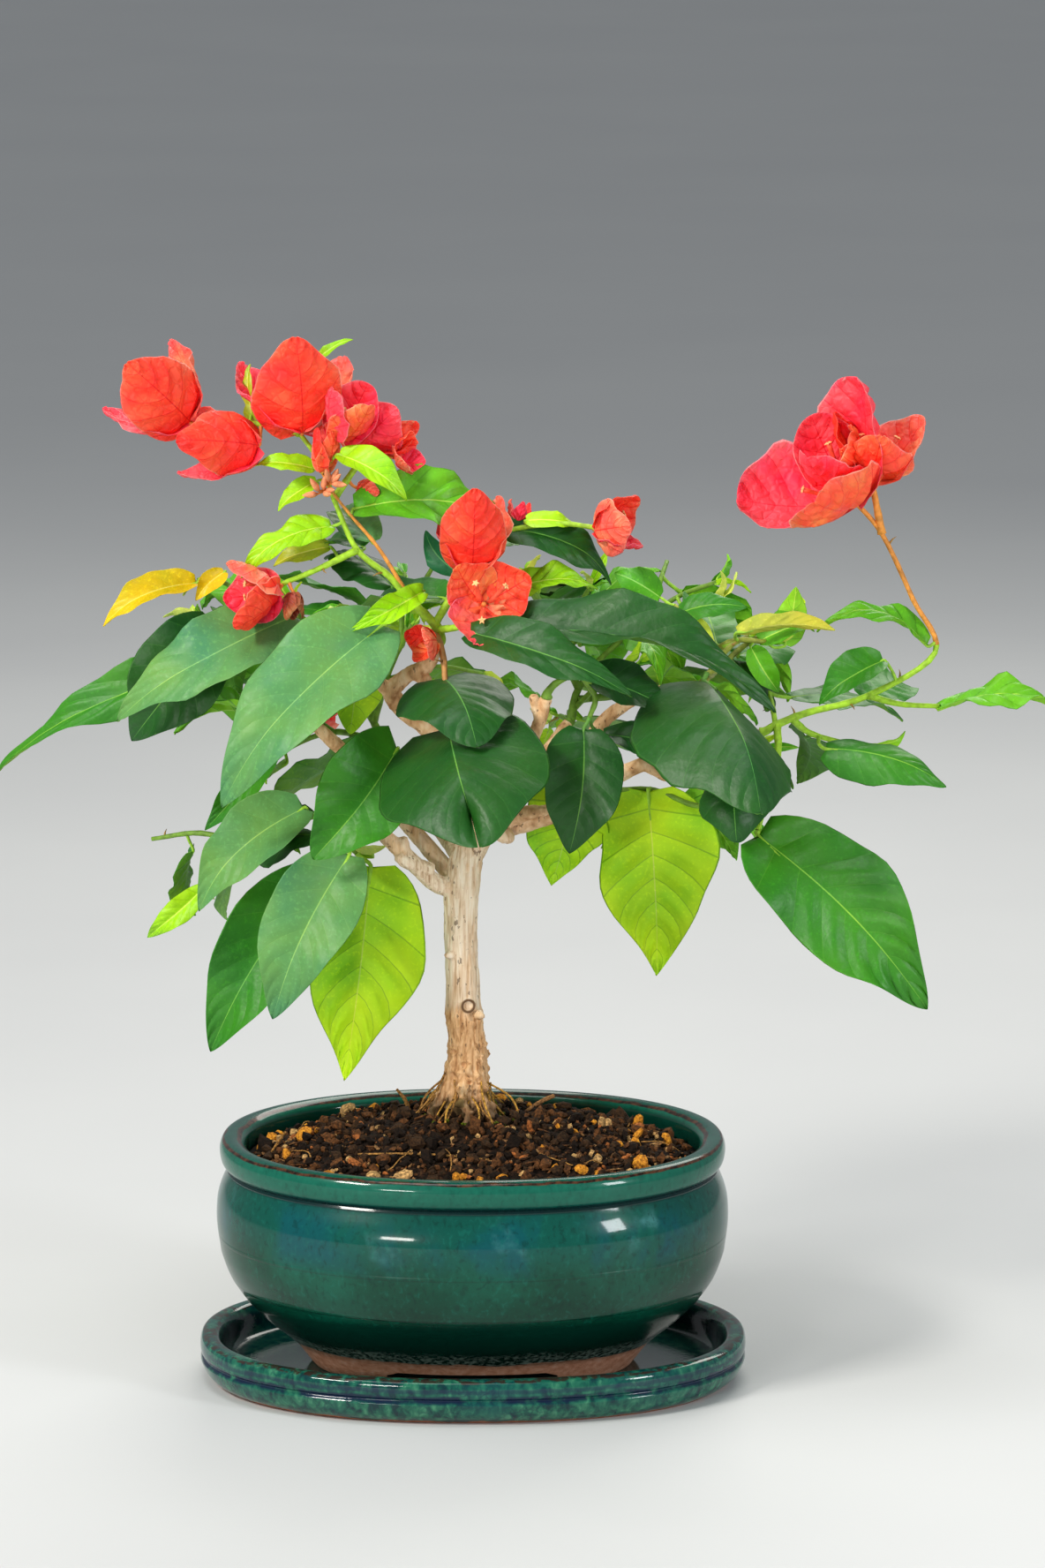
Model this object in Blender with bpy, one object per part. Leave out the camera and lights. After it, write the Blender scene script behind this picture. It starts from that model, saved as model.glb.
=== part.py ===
"""Bougainvillea bonsai in an oval glazed pot that stands in its drip tray.

The origin is the centre of the tray's flat underside, +X is the viewer's right and +Y points away
from the viewer.  Sizes below are in millimetres; solid() turns them into metres.
The plant is a trunk, eight boughs and nine masses of foliage: one on each bough's tip and one on the
low fork of the right bough.  Every mass is one solid: its shoots, petioles, leaves and bracts are thin
closed pieces that one Boolean union joins.
"""
import math
import random

import bpy
from mathutils import Vector
from mathutils.bvhtree import BVHTree

MM = 0.001
GAP = 0.3                                   # clear space between neighbouring pieces
SEGMENTS = 36                               # corners of each oval of the pot and tray

# Oval of the pot: its half depth is this much less than its half length; the difference grows
# below the belly.
POT_OVAL = 17.5
POT_OVAL_GROWTH = 5.5
BELLY_FROM_Z = 45.0
POT_POWER = 2.15
FOOT_Z = 5.3
FOOT_TOP_Z = 15.0
RIM_Z = 88.0
# (half length, height) up the outside, over the lip and down the inside.
POT_PROFILE = [
    (51.5, 10.8), (52.5, FOOT_Z), (57.0, FOOT_Z), (64.2, FOOT_TOP_Z), (65.6, 15.8), (73.4, 22.2),
    (80.0, 29.0), (85.4, 36.2), (89.2, 45.0), (91.2, 58.0), (90.4, 68.0), (86.7, 77.0), (89.2, 81.0),
    (89.7, 84.4), (88.0, RIM_Z), (82.2, RIM_Z), (80.4, 85.0), (81.6, 76.0), (84.6, 60.0),
    (82.4, 45.0), (76.0, 33.0), (65.0, 21.4), (50.0, 14.4),
]
ARCH_HALF = 31.0                            # drainage arch through the foot, front to back
ARCH_TOP_Z = 10.4

TRAY_OVAL = 26.5
TRAY_POWER = 2.25
TRAY_FLOOR_Z = FOOT_Z - GAP
TRAY_TOP_Z = 16.5
TRAY_PROFILE = [
    (90.5, 0.0), (95.4, 3.6), (97.0, 7.4), (96.3, 9.4), (97.2, 11.4), (97.2, 14.4), (95.4, TRAY_TOP_Z),
    (91.4, TRAY_TOP_Z), (90.0, 15.0), (88.0, 7.8), (82.0, TRAY_FLOOR_Z),
]

TRUNK_FOOT = Vector((-2.0, 8.0, 93.4))
SOIL_EDGE_Z = 79.5
SOIL_TOP_Z = TRUNK_FOOT.z - GAP
FLARE_TOP_Z = 109.0
ROOT_HEADINGS = (205.0, 318.0, 262.0, 85.0, 150.0)   # where the main roots leave, in degrees
TRUNK = [                                   # x, y, z, radius
    (-2, 8, 109, 7.2), (-2, 8, 117, 6.8), (-3, 8, 130, 6.3), (-4, 8, 156, 5.9), (-4, 8, 173, 6.1),
    (-2, 8, 186, 5.9), (1, 8, 194, 6.2), (4, 8, 201, 6.3), (5, 8, 204.5, 4.6),
]
# Each bough leaves a fork on the trunk: root inside the trunk, end of the fork, then its own course.
BOUGHS = {
    "bough_left_low": [(-4, 8, 175, 3.8), (-13, 5, 178, 3.2),
                       (-20, 2, 185, 2.9), (-29, 0, 194, 2.6), (-36, -3, 202, 2.1)],
    "bough_left": [(-4, 10, 177, 3.8), (-11, 13, 183, 3.2),
                   (-20, 14, 194, 3.0), (-33, 12, 210, 2.8), (-43, 8, 222, 2.5), (-57, 2, 237, 2.0)],
    "bough_top": [(4, 8, 199, 5.2), (2, 9, 208, 4.2),
                  (-6, 8, 219, 3.6), (-15, 4, 233, 3.3), (-25, 2, 241, 3.0), (-28, 1, 247, 3.0),
                  (-23, 0, 253, 2.8), (-16, -2, 257, 2.6), (-12, -4, 265, 2.2)],
    "bough_right": [(4, 8, 199, 5.0), (14, 5, 199, 3.9),
                    (30, 3, 204, 3.4), (41, 1, 211, 3.0), (52, 0, 218, 2.8), (65, 0, 223, 2.6),
                    (83, 0, 226, 2.3), (101, -2, 233, 1.8)],
    "bough_mid": [(4, 8, 199, 4.0), (10, 16, 206, 3.2),
                  (23, 22, 213, 2.9), (37, 24, 220, 2.7), (48, 24, 234, 2.5), (62, 20, 243, 2.2),
                  (78, 14, 247, 1.8)],
    "bough_front": [(4, 8, 199, 3.6), (8, -1, 209, 2.9),
                    (16, -8, 222, 2.6), (23, -13, 237, 2.3), (26, -16, 248, 2.0)],
    "bough_back_left": [(-4, 10, 182, 3.8), (-6, 22, 186, 3.1), (-18, 45, 196, 2.6), (-30, 62, 210, 2.1)],
    "bough_back_right": [(3, 10, 194, 3.8), (6, 24, 198, 3.2), (20, 46, 209, 2.7), (34, 64, 224, 2.1)],
}
LOW_FORK = [(60, 0, 221.5, 2.2), (70, -2, 217, 2.0), (83, -7, 215, 1.6)]   # side limb of bough_right

# Directions that the upper face of a leaf turns to.
FRONT, UP, BACK = (0.0, -1.0, 0.35), (0.0, -0.35, 1.0), (0.1, 1.0, 0.45)
LEFT, RIGHT, FRONT_UP = (-0.8, -0.8, 0.5), (0.8, -0.8, 0.5), (0.0, -0.8, 0.8)

# A mass of foliage: the limb tip it grows on, its shoots (first point on an earlier shoot), its space
# (centre and half sizes of an ellipsoid), how many side twigs the seeded rule tries, and the leaves
# and blossoms that give the crown its look.
# leaf: base, reach to the tip, width, upper face, arch, fold in degrees, tone
# blossom: base, reach of the bracts, width of a bract, opening in degrees, turn in degrees, tone
MASSES = {
    "foliage_left_low": {
        "tip": "bough_left_low", "seed": 11, "space": ((-62, 6, 184), (54, 44, 52)), "twigs": 6,
        "front": 4.0,
        "shoots": [[(-46, -6, 205), (-58, -4, 203), (-74, 2, 195), (-92, 5, 181)],
                   [(-40, -5, 205), (-37, -11, 214), (-31, -14, 226)],
                   [(-52, -5, 204), (-48, 3, 195), (-41, 8, 188)]],
        "leaves": [
            ((-43, -20, 193), (-27, -15, -55), 33, FRONT, .06, 12, "glaucous"),
            ((-53, -8, 184), (-40, -7, -63), 34, FRONT, .05, 14, "mid"),
            ((-36, 8, 183), (-9, -5, -75), 44, BACK, .05, 10, "lime"),
            ((-59, -6, 207), (-38, -15, -31), 27, FRONT_UP, .08, 12, "glaucous"),
            ((-95, 5, 176), (-21, 0, -18), 11, FRONT, .06, 20, "lime"),
            ((-26, -16, 230), (-29, -19, -35), 36, FRONT, .08, 14, "mid"),
        ], "blossoms": [],
    },
    "foliage_left": {
        "tip": "bough_left", "seed": 23, "space": ((-92, 22, 252), (72, 46, 40)), "twigs": 8,
        "front": 4.0,
        "shoots": [[(-64, 5, 246), (-69, 9, 257), (-76, 14, 271), (-86, 15, 283), (-96, 14, 285)],
                   [(-69, 9, 257), (-80, 18, 262), (-96, 26, 268)],
                   [(-64, 5, 246), (-68, 9, 238), (-69, 9, 231)],
                   [(-64, 5, 246), (-56, 12, 254), (-44, 14, 257)]],
        "leaves": [
            ((-62, 2, 274), (-63, -17, -31), 30, FRONT_UP, .10, 10, "glaucous"),
            ((-90, 8, 270), (-31, -4, -41), 34, FRONT, .08, 12, "dark"),
            ((-77, 14, 260), (-95, 6, -41), 19, FRONT_UP, .06, 16, "mid"),
            ((-69, 8, 228), (-26, -4, -31), 15, FRONT, .10, 24, "mid"),
            ((-97, 12, 284), (-33, -6, -13), 14, FRONT_UP, .12, 18, "yellow"),
            ((-87, 12, 288), (-10, -5, -9), 8, FRONT, .06, 12, "yellow"),
            ((-40, 14, 254), (-3, 4, -24), 20, BACK, .08, 10, "lime"),
        ], "blossoms": [],
    },
    "foliage_top": {
        "tip": "bough_top", "seed": 37, "space": ((-20, 14, 288), (56, 38, 36)), "twigs": 7,
        "front": 4.0,
        "shoots": [[(-13, -4, 272), (-21, -4, 280), (-29, -3, 289), (-40, -2, 298), (-47, -1, 313),
                    (-53, -1, 329), (-60, -1, 339)],
                   [(-21, -4, 280), (-32, -3, 298), (-41, -3, 309), (-48, -4, 318), (-52, -7, 326)],
                   [(-13, -4, 272), (-4, 0, 286), (5, 4, 296), (12, 7, 303), (30, 6, 306), (44, 3, 305)],
                   [(-13, -4, 270), (-10, -12, 262), (-9, -19, 252), (-7, -24, 241)],
                   [(-13, -4, 270), (-4, -14, 273), (6, -10, 277), (12, 6, 281)],
                   [(-60, -1, 339), (-72, -1, 342), (-94, 0, 343)],
                   [(-48, -1, 316), (-40, 3, 327), (-34, 4, 334)],
                   [(-40, -2, 298), (-53, -5, 292), (-66, -8, 287)]],
        "leaves": [
            ((-31, -12, 273), (-57, -33, -53), 42, FRONT_UP, .09, 16, "glaucous"),
            ((-41, 0, 312), (57, 15, -10), 24, FRONT_UP, .22, 10, "fresh"),
            ((-46, -12, 333), (24, -8, -13), 13, FRONT_UP, .16, 12, "lime"),
            ((-55, -4, 327), (-20, -2, 3), 9, FRONT_UP, .10, 16, "lime"),
            ((-54, 0, 322), (-14, -4, -9), 9, FRONT_UP, .10, 16, "lime"),
            ((-49, 0, 306), (-32, -8, -15), 14, FRONT_UP, .16, 14, "lime"),
            ((-50, 5, 298), (-20, 0, -6), 10, FRONT_UP, .10, 14, "olive"),
            ((-17, -6, 284), (-26, -13, -12), 13, FRONT, .10, 26, "lime"),
            ((-54, 4, 364), (12, 0, 8), 4, FRONT_UP, .12, 14, "lime"),
            ((-77, 6, 346), (-1, 2, 16), 6, LEFT, .08, 16, "olive"),
            ((-74, 6, 336), (-4, 0, 15), 7, LEFT, .08, 16, "olive"),
            ((-5, 4, 289), (-12, 4, 14), 10, LEFT, .08, 12, "teal"),
            ((-1, -20, 272), (56, -25, -15), 20, FRONT_UP, .08, 14, "dark"),
            ((-8, -24, 239), (9, -59, -24), 62, (-.25, -.35, 1), .10, -24, "dark"),
            ((-10, -15, 255), (12, -36, -14), 42, UP, .10, -8, "dark"),
            ((13, 8, 282), (31, 0, 3), 12, FRONT_UP, .14, 10, "lime"),
            ((11, 8, 304), (40, 4, -18), 17, FRONT_UP, .14, 12, "dark"),
            ((12, -12, 272), (94, -22, -15), 34, (0, -.6, 1), .07, 26, "dark"),
            ((19, 7, 307), (18, 2, -2), 8, FRONT_UP, .14, 12, "lime"),
            ((-38, 4, 298), (-20, 24, -6), 22, UP, .12, 8, "mid"),
            ((-10, 4, 280), (-30, 30, -12), 26, UP, .12, 8, "mid"),
        ],
        "blossoms": [
            ((-98, -2, 343), (-28, 4, 23), 28, 38, 66, "coral"),
            ((-74, -4, 335), (-33, -5, 1), 22, 24, 60, "coral"),
            ((-59, -2, 339), (-6, 9, 38), 32, 38, 233, "coral"),
            ((-46, -6, 337), (8, -6, 20), 17, 22, 30, "pink"),
            ((-40, 4, 333), (17, 3, 17), 25, 28, 0, "coral"),
            ((-26, 0, 330), (9, -5, 4), 13, 40, 30, "coral"),
            ((-51, -8, 327), (1, -3, 17), 10, 10, 30, "orange"),
            ((-40, 4, 319), (9, 0, -2), 8, 20, 0, "coral"),
            ((0, -7, 292), (-1, 5, 31), 24, 26, 233, "coral"),
            ((4, -12, 280), (3, -18, 9), 23, 60, 32, "orange"),
            ((-13, -10, 267), (-9, -7, -1), 13, 36, 60, "orange"),
            ((-67, -8, 285), (-22, -6, -3), 22, 30, 0, "coral"),
            ((-62, -9, 284), (0, -3, -10), 8, 18, 0, "dry"),
            ((15, 10, 304), (3, 3, 10), 6, 18, 0, "coral"),
            ((43, 3, 304), (19, -3, 4), 21, 32, 0, "coral"),
        ],
    },
    "foliage_front": {
        "tip": "bough_front", "seed": 41, "space": ((36, -12, 254), (44, 34, 30)), "twigs": 3,
        "front": -14.0,
        "shoots": [[(30, -18, 254), (38, -17, 257), (50, -12, 257)],
                   [(38, -17, 257), (43, -19, 249), (41, -21, 242)]],
        "leaves": [
            ((39, -22, 238), (-5, -10, -42), 30, FRONT, .08, 10, "dark"),
            ((41, -13, 256), (30, -5, -12), 18, FRONT_UP, .08, 12, "dark"),
            ((46, -10, 234), (32, -6, -8), 13, FRONT_UP, .12, 12, "dark"),
        ], "blossoms": [],
    },
    "foliage_mid": {
        "tip": "bough_mid", "seed": 53, "space": ((72, 22, 260), (54, 42, 36)), "twigs": 9,
        "front": 4.0,
        "shoots": [[(84, 9, 253), (85, 6, 261), (80, 5, 269), (71, 6, 277)],
                   [(85, 6, 261), (93, 4, 265), (103, 6, 264)],
                   [(84, 9, 252), (85, -2, 255), (82, -12, 256)]],
        "leaves": [
            ((81, -15, 254), (20, -66, -27), 68, (.30, -.35, 1), .10, -22, "dark"),
            ((70, 5, 273), (26, -5, 5), 12, FRONT_UP, .14, 10, "mid"),
            ((66, 12, 279), (-16, 5, 8), 13, FRONT, .10, 14, "fresh"),
            ((101, 8, 264), (20, 0, 8), 13, FRONT_UP, .10, 14, "fresh"),
            ((93, -3, 269), (34, -2, 2), 9, BACK, .06, 16, "olive"),
            ((72, 4, 272), (14, -6, -11), 12, FRONT, .08, 10, "young"),
            ((98, 6, 262), (10, 0, -16), 11, FRONT, .08, 18, "fresh"),
            ((110, 12, 262), (4, 4, 20), 12, BACK, .08, 10, "fresh"),
        ], "blossoms": [],
    },
    "foliage_right": {
        "tip": "bough_right", "seed": 67, "space": ((128, 16, 238), (52, 48, 40)), "twigs": 9,
        "front": 4.0,
        "shoots": [[(107, -2, 236), (118, 0, 240), (139, 0, 246), (162, -4, 262), (154, -4, 281),
                    (143, -4, 304), (132, -4, 317)],
                   [(143, -4, 304), (139, -5, 324)],
                   [(139, 0, 246), (150, 0, 243), (164, 1, 242)],
                   [(107, -2, 236), (107, -9, 226), (103, -16, 212), (100, -20, 202)],
                   [(112, -1, 238), (120, 6, 231), (138, 8, 226)]],
        "leaves": [
            ((124, -5, 228), (42, -10, -10), 20, FRONT_UP, .12, -14, "mid"),
            ((100, -20, 200), (59, -20, -57), 41, FRONT, .07, 8, "mid"),
            ((159, -6, 265), (-38, 4, 7), 14, UP, .22, 10, "fresh"),
            ((144, -3, 259), (-23, -8, -12), 16, FRONT_UP, .14, 14, "mid"),
            ((164, 1, 241), (50, 4, -4), 15, UP, .16, 14, "fresh"),
        ],
        "blossoms": [
            ((133, -4, 316), (-27, -19, 28), 36, 48, -10, "pink"),
            ((130, -6, 321), (-9, -10, 24), 21, 26, 60, "pink"),
            ((139, -7, 324), (5, -6, 27), 28, 36, -12, "orange"),
        ],
    },
    "foliage_right_low": {
        "tip": "low_fork", "seed": 71, "space": ((70, 24, 200), (46, 40, 38)), "twigs": 5,
        "front": 4.0,
        "shoots": [[(86, -8, 214), (88, -3, 208), (78, 4, 206), (64, 7, 211), (50, 11, 210), (36, 14, 208)]],
        "leaves": [
            ((62, 4, 211), (4, -8, -64), 45, BACK, .05, 10, "lime"),
            ((34, 14, 207), (-6, 4, -32), 31, BACK, .06, 10, "lime"),
            ((74, 12, 208), (20, 6, -24), 22, BACK, .06, 10, "fresh"),
            ((92, -22, 222), (0, -16, -19), 25, UP, .08, -10, "dark"),
        ], "blossoms": [],
    },
    "foliage_back_left": {
        "tip": "bough_back_left", "seed": 83, "space": ((-52, 66, 232), (78, 56, 60)), "twigs": 22,
        "sizes": (44.0, 74.0),
        "shoots": [[(-36, 68, 224), (-46, 72, 240), (-60, 74, 252), (-78, 74, 258)],
                   [(-36, 68, 224), (-30, 62, 244), (-22, 54, 262)],
                   [(-34, 66, 217), (-52, 80, 218), (-74, 86, 208)]],
        "leaves": [], "blossoms": [((-56, 88, 222), (-4, 19, 6), 22, 34, 40, "coral")],
    },
    "foliage_back_right": {
        "tip": "bough_back_right", "seed": 97, "space": ((62, 70, 238), (80, 54, 58)), "twigs": 22,
        "sizes": (44.0, 74.0),
        "shoots": [[(38, 70, 236), (50, 74, 250), (68, 72, 262), (88, 66, 268)],
                   [(38, 70, 236), (28, 62, 256), (22, 54, 274)],
                   [(37, 69, 232), (58, 84, 230), (82, 88, 220), (104, 80, 212)]],
        "leaves": [], "blossoms": [((84, 95, 216), (2, 19, -3), 22, 34, 10, "coral")],
    },
}

PETIOLE_R = 0.75
SHOOT_R = 1.5
SHOOT_END_R = 0.9
BASE_WIDTH, TIP_WIDTH = 0.5, 0.85           # exponents of the leaf outline
STATIONS = ((60.0, (0.07, 0.3, 0.6, 0.85)), (37.0, (0.12, 0.45, 0.8)), (0.0, (0.22, 0.68)))

HEART = Vector((5.0, 12.0, 205.0))          # the crown spreads away from here
LEAF_SPACING = 13.0                         # between the leaves that the seeded rule sets on a shoot
LEAF_SIZES = (32.0, 56.0)
LEAF_TRIES = 4                              # for each place, each a little smaller, before it stays bare

BRACT_TRIO = ((0.0, 1.0, 1.0), (9.0, 1.16, 0.94), (-7.0, 0.9, 0.9))   # swing, spread, size of each

COLOURS = {
    "glaze": (0.012, 0.10, 0.075), "tray": (0.02, 0.13, 0.09), "soil": (0.03, 0.017, 0.010),
    "bark": (0.46, 0.33, 0.22), "leaf": (0.035, 0.16, 0.045),
}


# ---------------------------------------------------------------- plain solids

def remove_objects():
    for item in list(bpy.data.objects):
        bpy.data.objects.remove(item, do_unlink=True)


def material(name, colour, roughness, coat=0.0):
    made = bpy.data.materials.new(name)
    made.use_nodes = True
    shader = made.node_tree.nodes["Principled BSDF"]
    shader.inputs["Base Color"].default_value = (*colour, 1.0)
    shader.inputs["Roughness"].default_value = roughness
    shader.inputs["Coat Weight"].default_value = coat
    return made


def solid(name, verts, faces, made=None, smooth=False):
    """One object from points in millimetres."""
    mesh = bpy.data.meshes.new(name)
    mesh.from_pydata([tuple(Vector(v) * MM) for v in verts], [], faces)
    if smooth:
        mesh.shade_smooth()
    item = bpy.data.objects.new(name, mesh)
    bpy.context.scene.collection.objects.link(item)
    if made:
        mesh.materials.append(made)
    return item


def oval(half_x, half_y, z, power, centre=(0.0, 0.0)):
    ring = []
    for i in range(SEGMENTS):
        angle = 2 * math.pi * i / SEGMENTS
        c, s = math.cos(angle), math.sin(angle)
        ring.append((centre[0] + half_x * math.copysign(abs(c) ** (2 / power), c),
                     centre[1] + half_y * math.copysign(abs(s) ** (2 / power), s), z))
    return ring


def pot_ring(half, z, inset=0.0):
    low = max(0.0, 1 - z / BELLY_FROM_Z)
    depth = half - POT_OVAL - POT_OVAL_GROWTH * low ** 2
    return oval(half - inset, depth - inset, z, POT_POWER)


def stack(rings):
    """Closed solid through rings of equal count, with flat ends."""
    count = len(rings[0])
    verts = [p for ring in rings for p in ring]
    faces = [tuple(reversed(range(count)))]
    for r in range(len(rings) - 1):
        for i in range(count):
            j = (i + 1) % count
            faces.append((r * count + i, r * count + j, (r + 1) * count + j, (r + 1) * count + i))
    faces.append(tuple(range((len(rings) - 1) * count, len(rings) * count)))
    return verts, faces


def tube(course, sides):
    """Closed round solid along (x, y, z, radius) points."""
    points = [Vector(p[:3]) for p in course]
    rings, side = [], None
    for i, point in enumerate(points):
        along = (points[min(i + 1, len(points) - 1)] - points[max(i - 1, 0)]).normalized()
        if side is None:
            side = along.orthogonal()
        side = (side - along * side.dot(along)).normalized()
        other = along.cross(side)
        rings.append([point + course[i][3] * (math.cos(2 * math.pi * k / sides) * side
                                              + math.sin(2 * math.pi * k / sides) * other)
                      for k in range(sides)])
    return stack(rings)


def joined(name, pieces, made, smooth=False, solver="EXACT"):
    """One solid from many closed pieces, by one union on a collection."""
    first = solid(name, *pieces[0], made, smooth)
    if len(pieces) == 1:
        return first
    group = bpy.data.collections.new(name + "_pieces")
    for verts, faces in pieces[1:]:
        extra = solid(name + "_piece", verts, faces, None, smooth)
        bpy.context.scene.collection.objects.unlink(extra)
        group.objects.link(extra)
    union = first.modifiers.new("union", "BOOLEAN")
    union.operation = "UNION"
    union.operand_type = "COLLECTION"
    union.collection = group
    union.solver = solver
    bpy.context.view_layer.update()
    shape = bpy.data.meshes.new_from_object(first.evaluated_get(bpy.context.evaluated_depsgraph_get()))
    first.modifiers.remove(union)
    first.data = shape
    for extra in list(group.objects):
        bpy.data.objects.remove(extra, do_unlink=True)
    bpy.data.collections.remove(group)
    return first


# ---------------------------------------------------------------- pot, tray and soil

def drip_tray():
    rings = [oval(half, half - TRAY_OVAL, z, TRAY_POWER) for half, z in TRAY_PROFILE]
    made = material("tray_glaze", COLOURS["tray"], 0.15, 0.6)
    return solid("drip_tray", *stack(rings), made, smooth=True)


def pot():
    rings = [pot_ring(half, z) for half, z in POT_PROFILE]
    body = solid("pot", *stack(rings), material("pot_glaze", COLOURS["glaze"], 0.12, 0.8), smooth=True)
    low, high, reach = FOOT_Z - 4.0, ARCH_TOP_Z, 60.0
    shape = [(-ARCH_HALF, low), (ARCH_HALF, low), (ARCH_HALF - 1.0, high - 1.6), (ARCH_HALF - 5.0, high),
             (5.0 - ARCH_HALF, high), (1.0 - ARCH_HALF, high - 1.6)]
    cutter = solid("foot_arch_cutter", *stack([[(x, -reach, z) for x, z in shape],
                                               [(x, reach, z) for x, z in shape]]))
    cutter.data.flip_normals()
    cutter.hide_render = True
    cutter.display_type = "WIRE"
    cut = body.modifiers.new("foot_arch", "BOOLEAN")
    cut.operation = "DIFFERENCE"
    cut.object = cutter
    return body


def soil():
    """Fills the pot up to a low mound whose flat top carries the trunk."""
    floor_half, floor_z = POT_PROFILE[-1]
    wall = [(half, z) for half, z in reversed(POT_PROFILE[-7:-1]) if z < SOIL_EDGE_Z]
    rings = [pot_ring(floor_half, floor_z + GAP, GAP)]
    rings += [pot_ring(half, z + GAP, 1.2 * GAP) for half, z in wall]
    edge = 80.6 - GAP
    rings.append(oval(edge, edge - POT_OVAL, SOIL_EDGE_Z, POT_POWER))
    for share, rise in ((0.80, 0.34), (0.52, 0.78), (0.24, 1.0)):
        drift = 1 - share
        rings.append(oval(edge * share, (edge - POT_OVAL) * (share + 0.06 * drift),
                          SOIL_EDGE_Z + rise * (SOIL_TOP_Z - SOIL_EDGE_Z), POT_POWER,
                          (TRUNK_FOOT.x * drift, TRUNK_FOOT.y * drift)))
    return solid("soil", *stack(rings), material("potting_soil", COLOURS["soil"], 0.95), smooth=False)


# ---------------------------------------------------------------- trunk and boughs

def flare_rings(sides):
    """Rings of the root flare, widest where the roots meet the ground."""
    rings = []
    top = TRUNK[0]
    for height in (0.0, 2.2, 5.5, 10.0):
        share = 1 - height / (FLARE_TOP_Z - TRUNK_FOOT.z)
        ring = []
        for k in range(sides):
            angle = 360.0 * k / sides
            lobe = sum(math.exp(-(((angle - h + 180) % 360 - 180) / 17.0) ** 2) for h in ROOT_HEADINGS)
            radius = top[3] + 1.6 * share + 6.2 * share ** 2.4 * lobe
            ring.append((TRUNK_FOOT.x + radius * math.cos(math.radians(angle)),
                         TRUNK_FOOT.y + radius * math.sin(math.radians(angle)), TRUNK_FOOT.z + height))
        rings.append(ring)
    return rings


def trunk_pieces():
    sides = 14
    rings = flare_rings(sides)
    for x, y, z, radius in TRUNK:
        rings.append([(x + radius * math.cos(2 * math.pi * k / sides),
                       y + radius * math.sin(2 * math.pi * k / sides), z) for k in range(sides)])
    forks = [tube([course[0], course[1]], 8) for course in BOUGHS.values()]
    return [stack(rings)] + forks


def after_gap(course):
    """The course moved on by the gap, its first stretch straight ahead."""
    start, ahead = Vector(course[0][:3]), Vector(course[1][:3])
    along = (ahead - start).normalized()
    radius = course[1][3]
    first = (*(ahead + GAP * along), radius)
    second = (*(ahead + 2.5 * along), radius)
    return [first, second] + list(course[2:])


def bough_pieces(name):
    pieces = [tube(after_gap(BOUGHS[name]), 8)]
    if name == "bough_right":
        pieces.append(tube(LOW_FORK, 8))
    return pieces


# ---------------------------------------------------------------- foliage

def outline(s):
    """Half width of an ovate leaf along its length, 1 at the widest."""
    widest = BASE_WIDTH / (BASE_WIDTH + TIP_WIDTH)
    peak = widest ** BASE_WIDTH * (1 - widest) ** TIP_WIDTH
    return s ** BASE_WIDTH * (1 - s) ** TIP_WIDTH / peak


def upper_side(reach, face):
    along = reach.normalized()
    up = Vector(face)
    return (up - along * up.dot(along)).normalized()


def spine(at, reach, face, arch, s):
    """Point of the arched midrib at share s of its length."""
    return at + reach * s + upper_side(reach, face) * (arch * reach.length * 4 * s * (1 - s))


def blade(at, reach, wide, face, arch, fold, rough=False, swell=0.0):
    """A leaf or bract as a thin lens: its rim is shared and its midrib is raised on both faces."""
    at, reach = Vector(at), Vector(reach)
    length = reach.length
    along = reach.normalized()
    up = upper_side(reach, face)
    side = up.cross(along)
    thick = max(0.013 * length, 0.55) + 2 * swell
    lean = math.radians(fold)
    stations = STATIONS[-1][1] if rough else next(places for least, places in STATIONS if length > least)
    verts = [at - along * swell, at + reach + along * swell]
    for s in stations:
        middle = spine(at, reach, face, arch, s)
        half = wide / 2 * outline(s) + swell
        rim = up * (half * math.sin(lean))
        across = side * half * math.cos(lean)
        verts += [middle + across + rim, middle - across + rim,
                  middle + up * thick / 2, middle - up * thick / 2]
    faces = []
    for rim, ridge, turn in ((0, 2, 1), (2, 1, 1), (1, 3, 1), (3, 0, 1)):
        for i in range(len(stations) - 1):
            a, b = 2 + 4 * i, 6 + 4 * i
            faces += [(a + rim, a + ridge, b + ridge), (a + rim, b + ridge, b + rim)]
        last = 2 + 4 * (len(stations) - 1)
        faces += [(0, 2 + ridge, 2 + rim), (last + rim, last + ridge, 1)]
    return verts, faces


def bracts(at, reach, wide, opening, turn):
    """The three papery bracts of a blossom, as rows for blade()."""
    at, axis = Vector(at), Vector(reach)
    length = axis.length
    along = axis.normalized()
    across = along.orthogonal().normalized()
    other = along.cross(across)
    rows = []
    for k, (swing, spread, share) in enumerate(BRACT_TRIO):
        angle = math.radians(turn + 120 * k + swing)
        out = across * math.cos(angle) + other * math.sin(angle)
        lean = math.radians(opening * spread)
        way = along * math.cos(lean) + out * math.sin(lean)
        rows.append((at + out * 0.25, way * length * share, wide * share, along - out, -0.10, 12 - 3 * k))
    return rows


def tree_of(piece):
    verts, faces = piece
    return BVHTree.FromPolygons([tuple(v) for v in verts], faces)


def box_of(piece):
    verts = piece[0]
    return ([min(v[k] for v in verts) for k in range(3)], [max(v[k] for v in verts) for k in range(3)])


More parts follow.
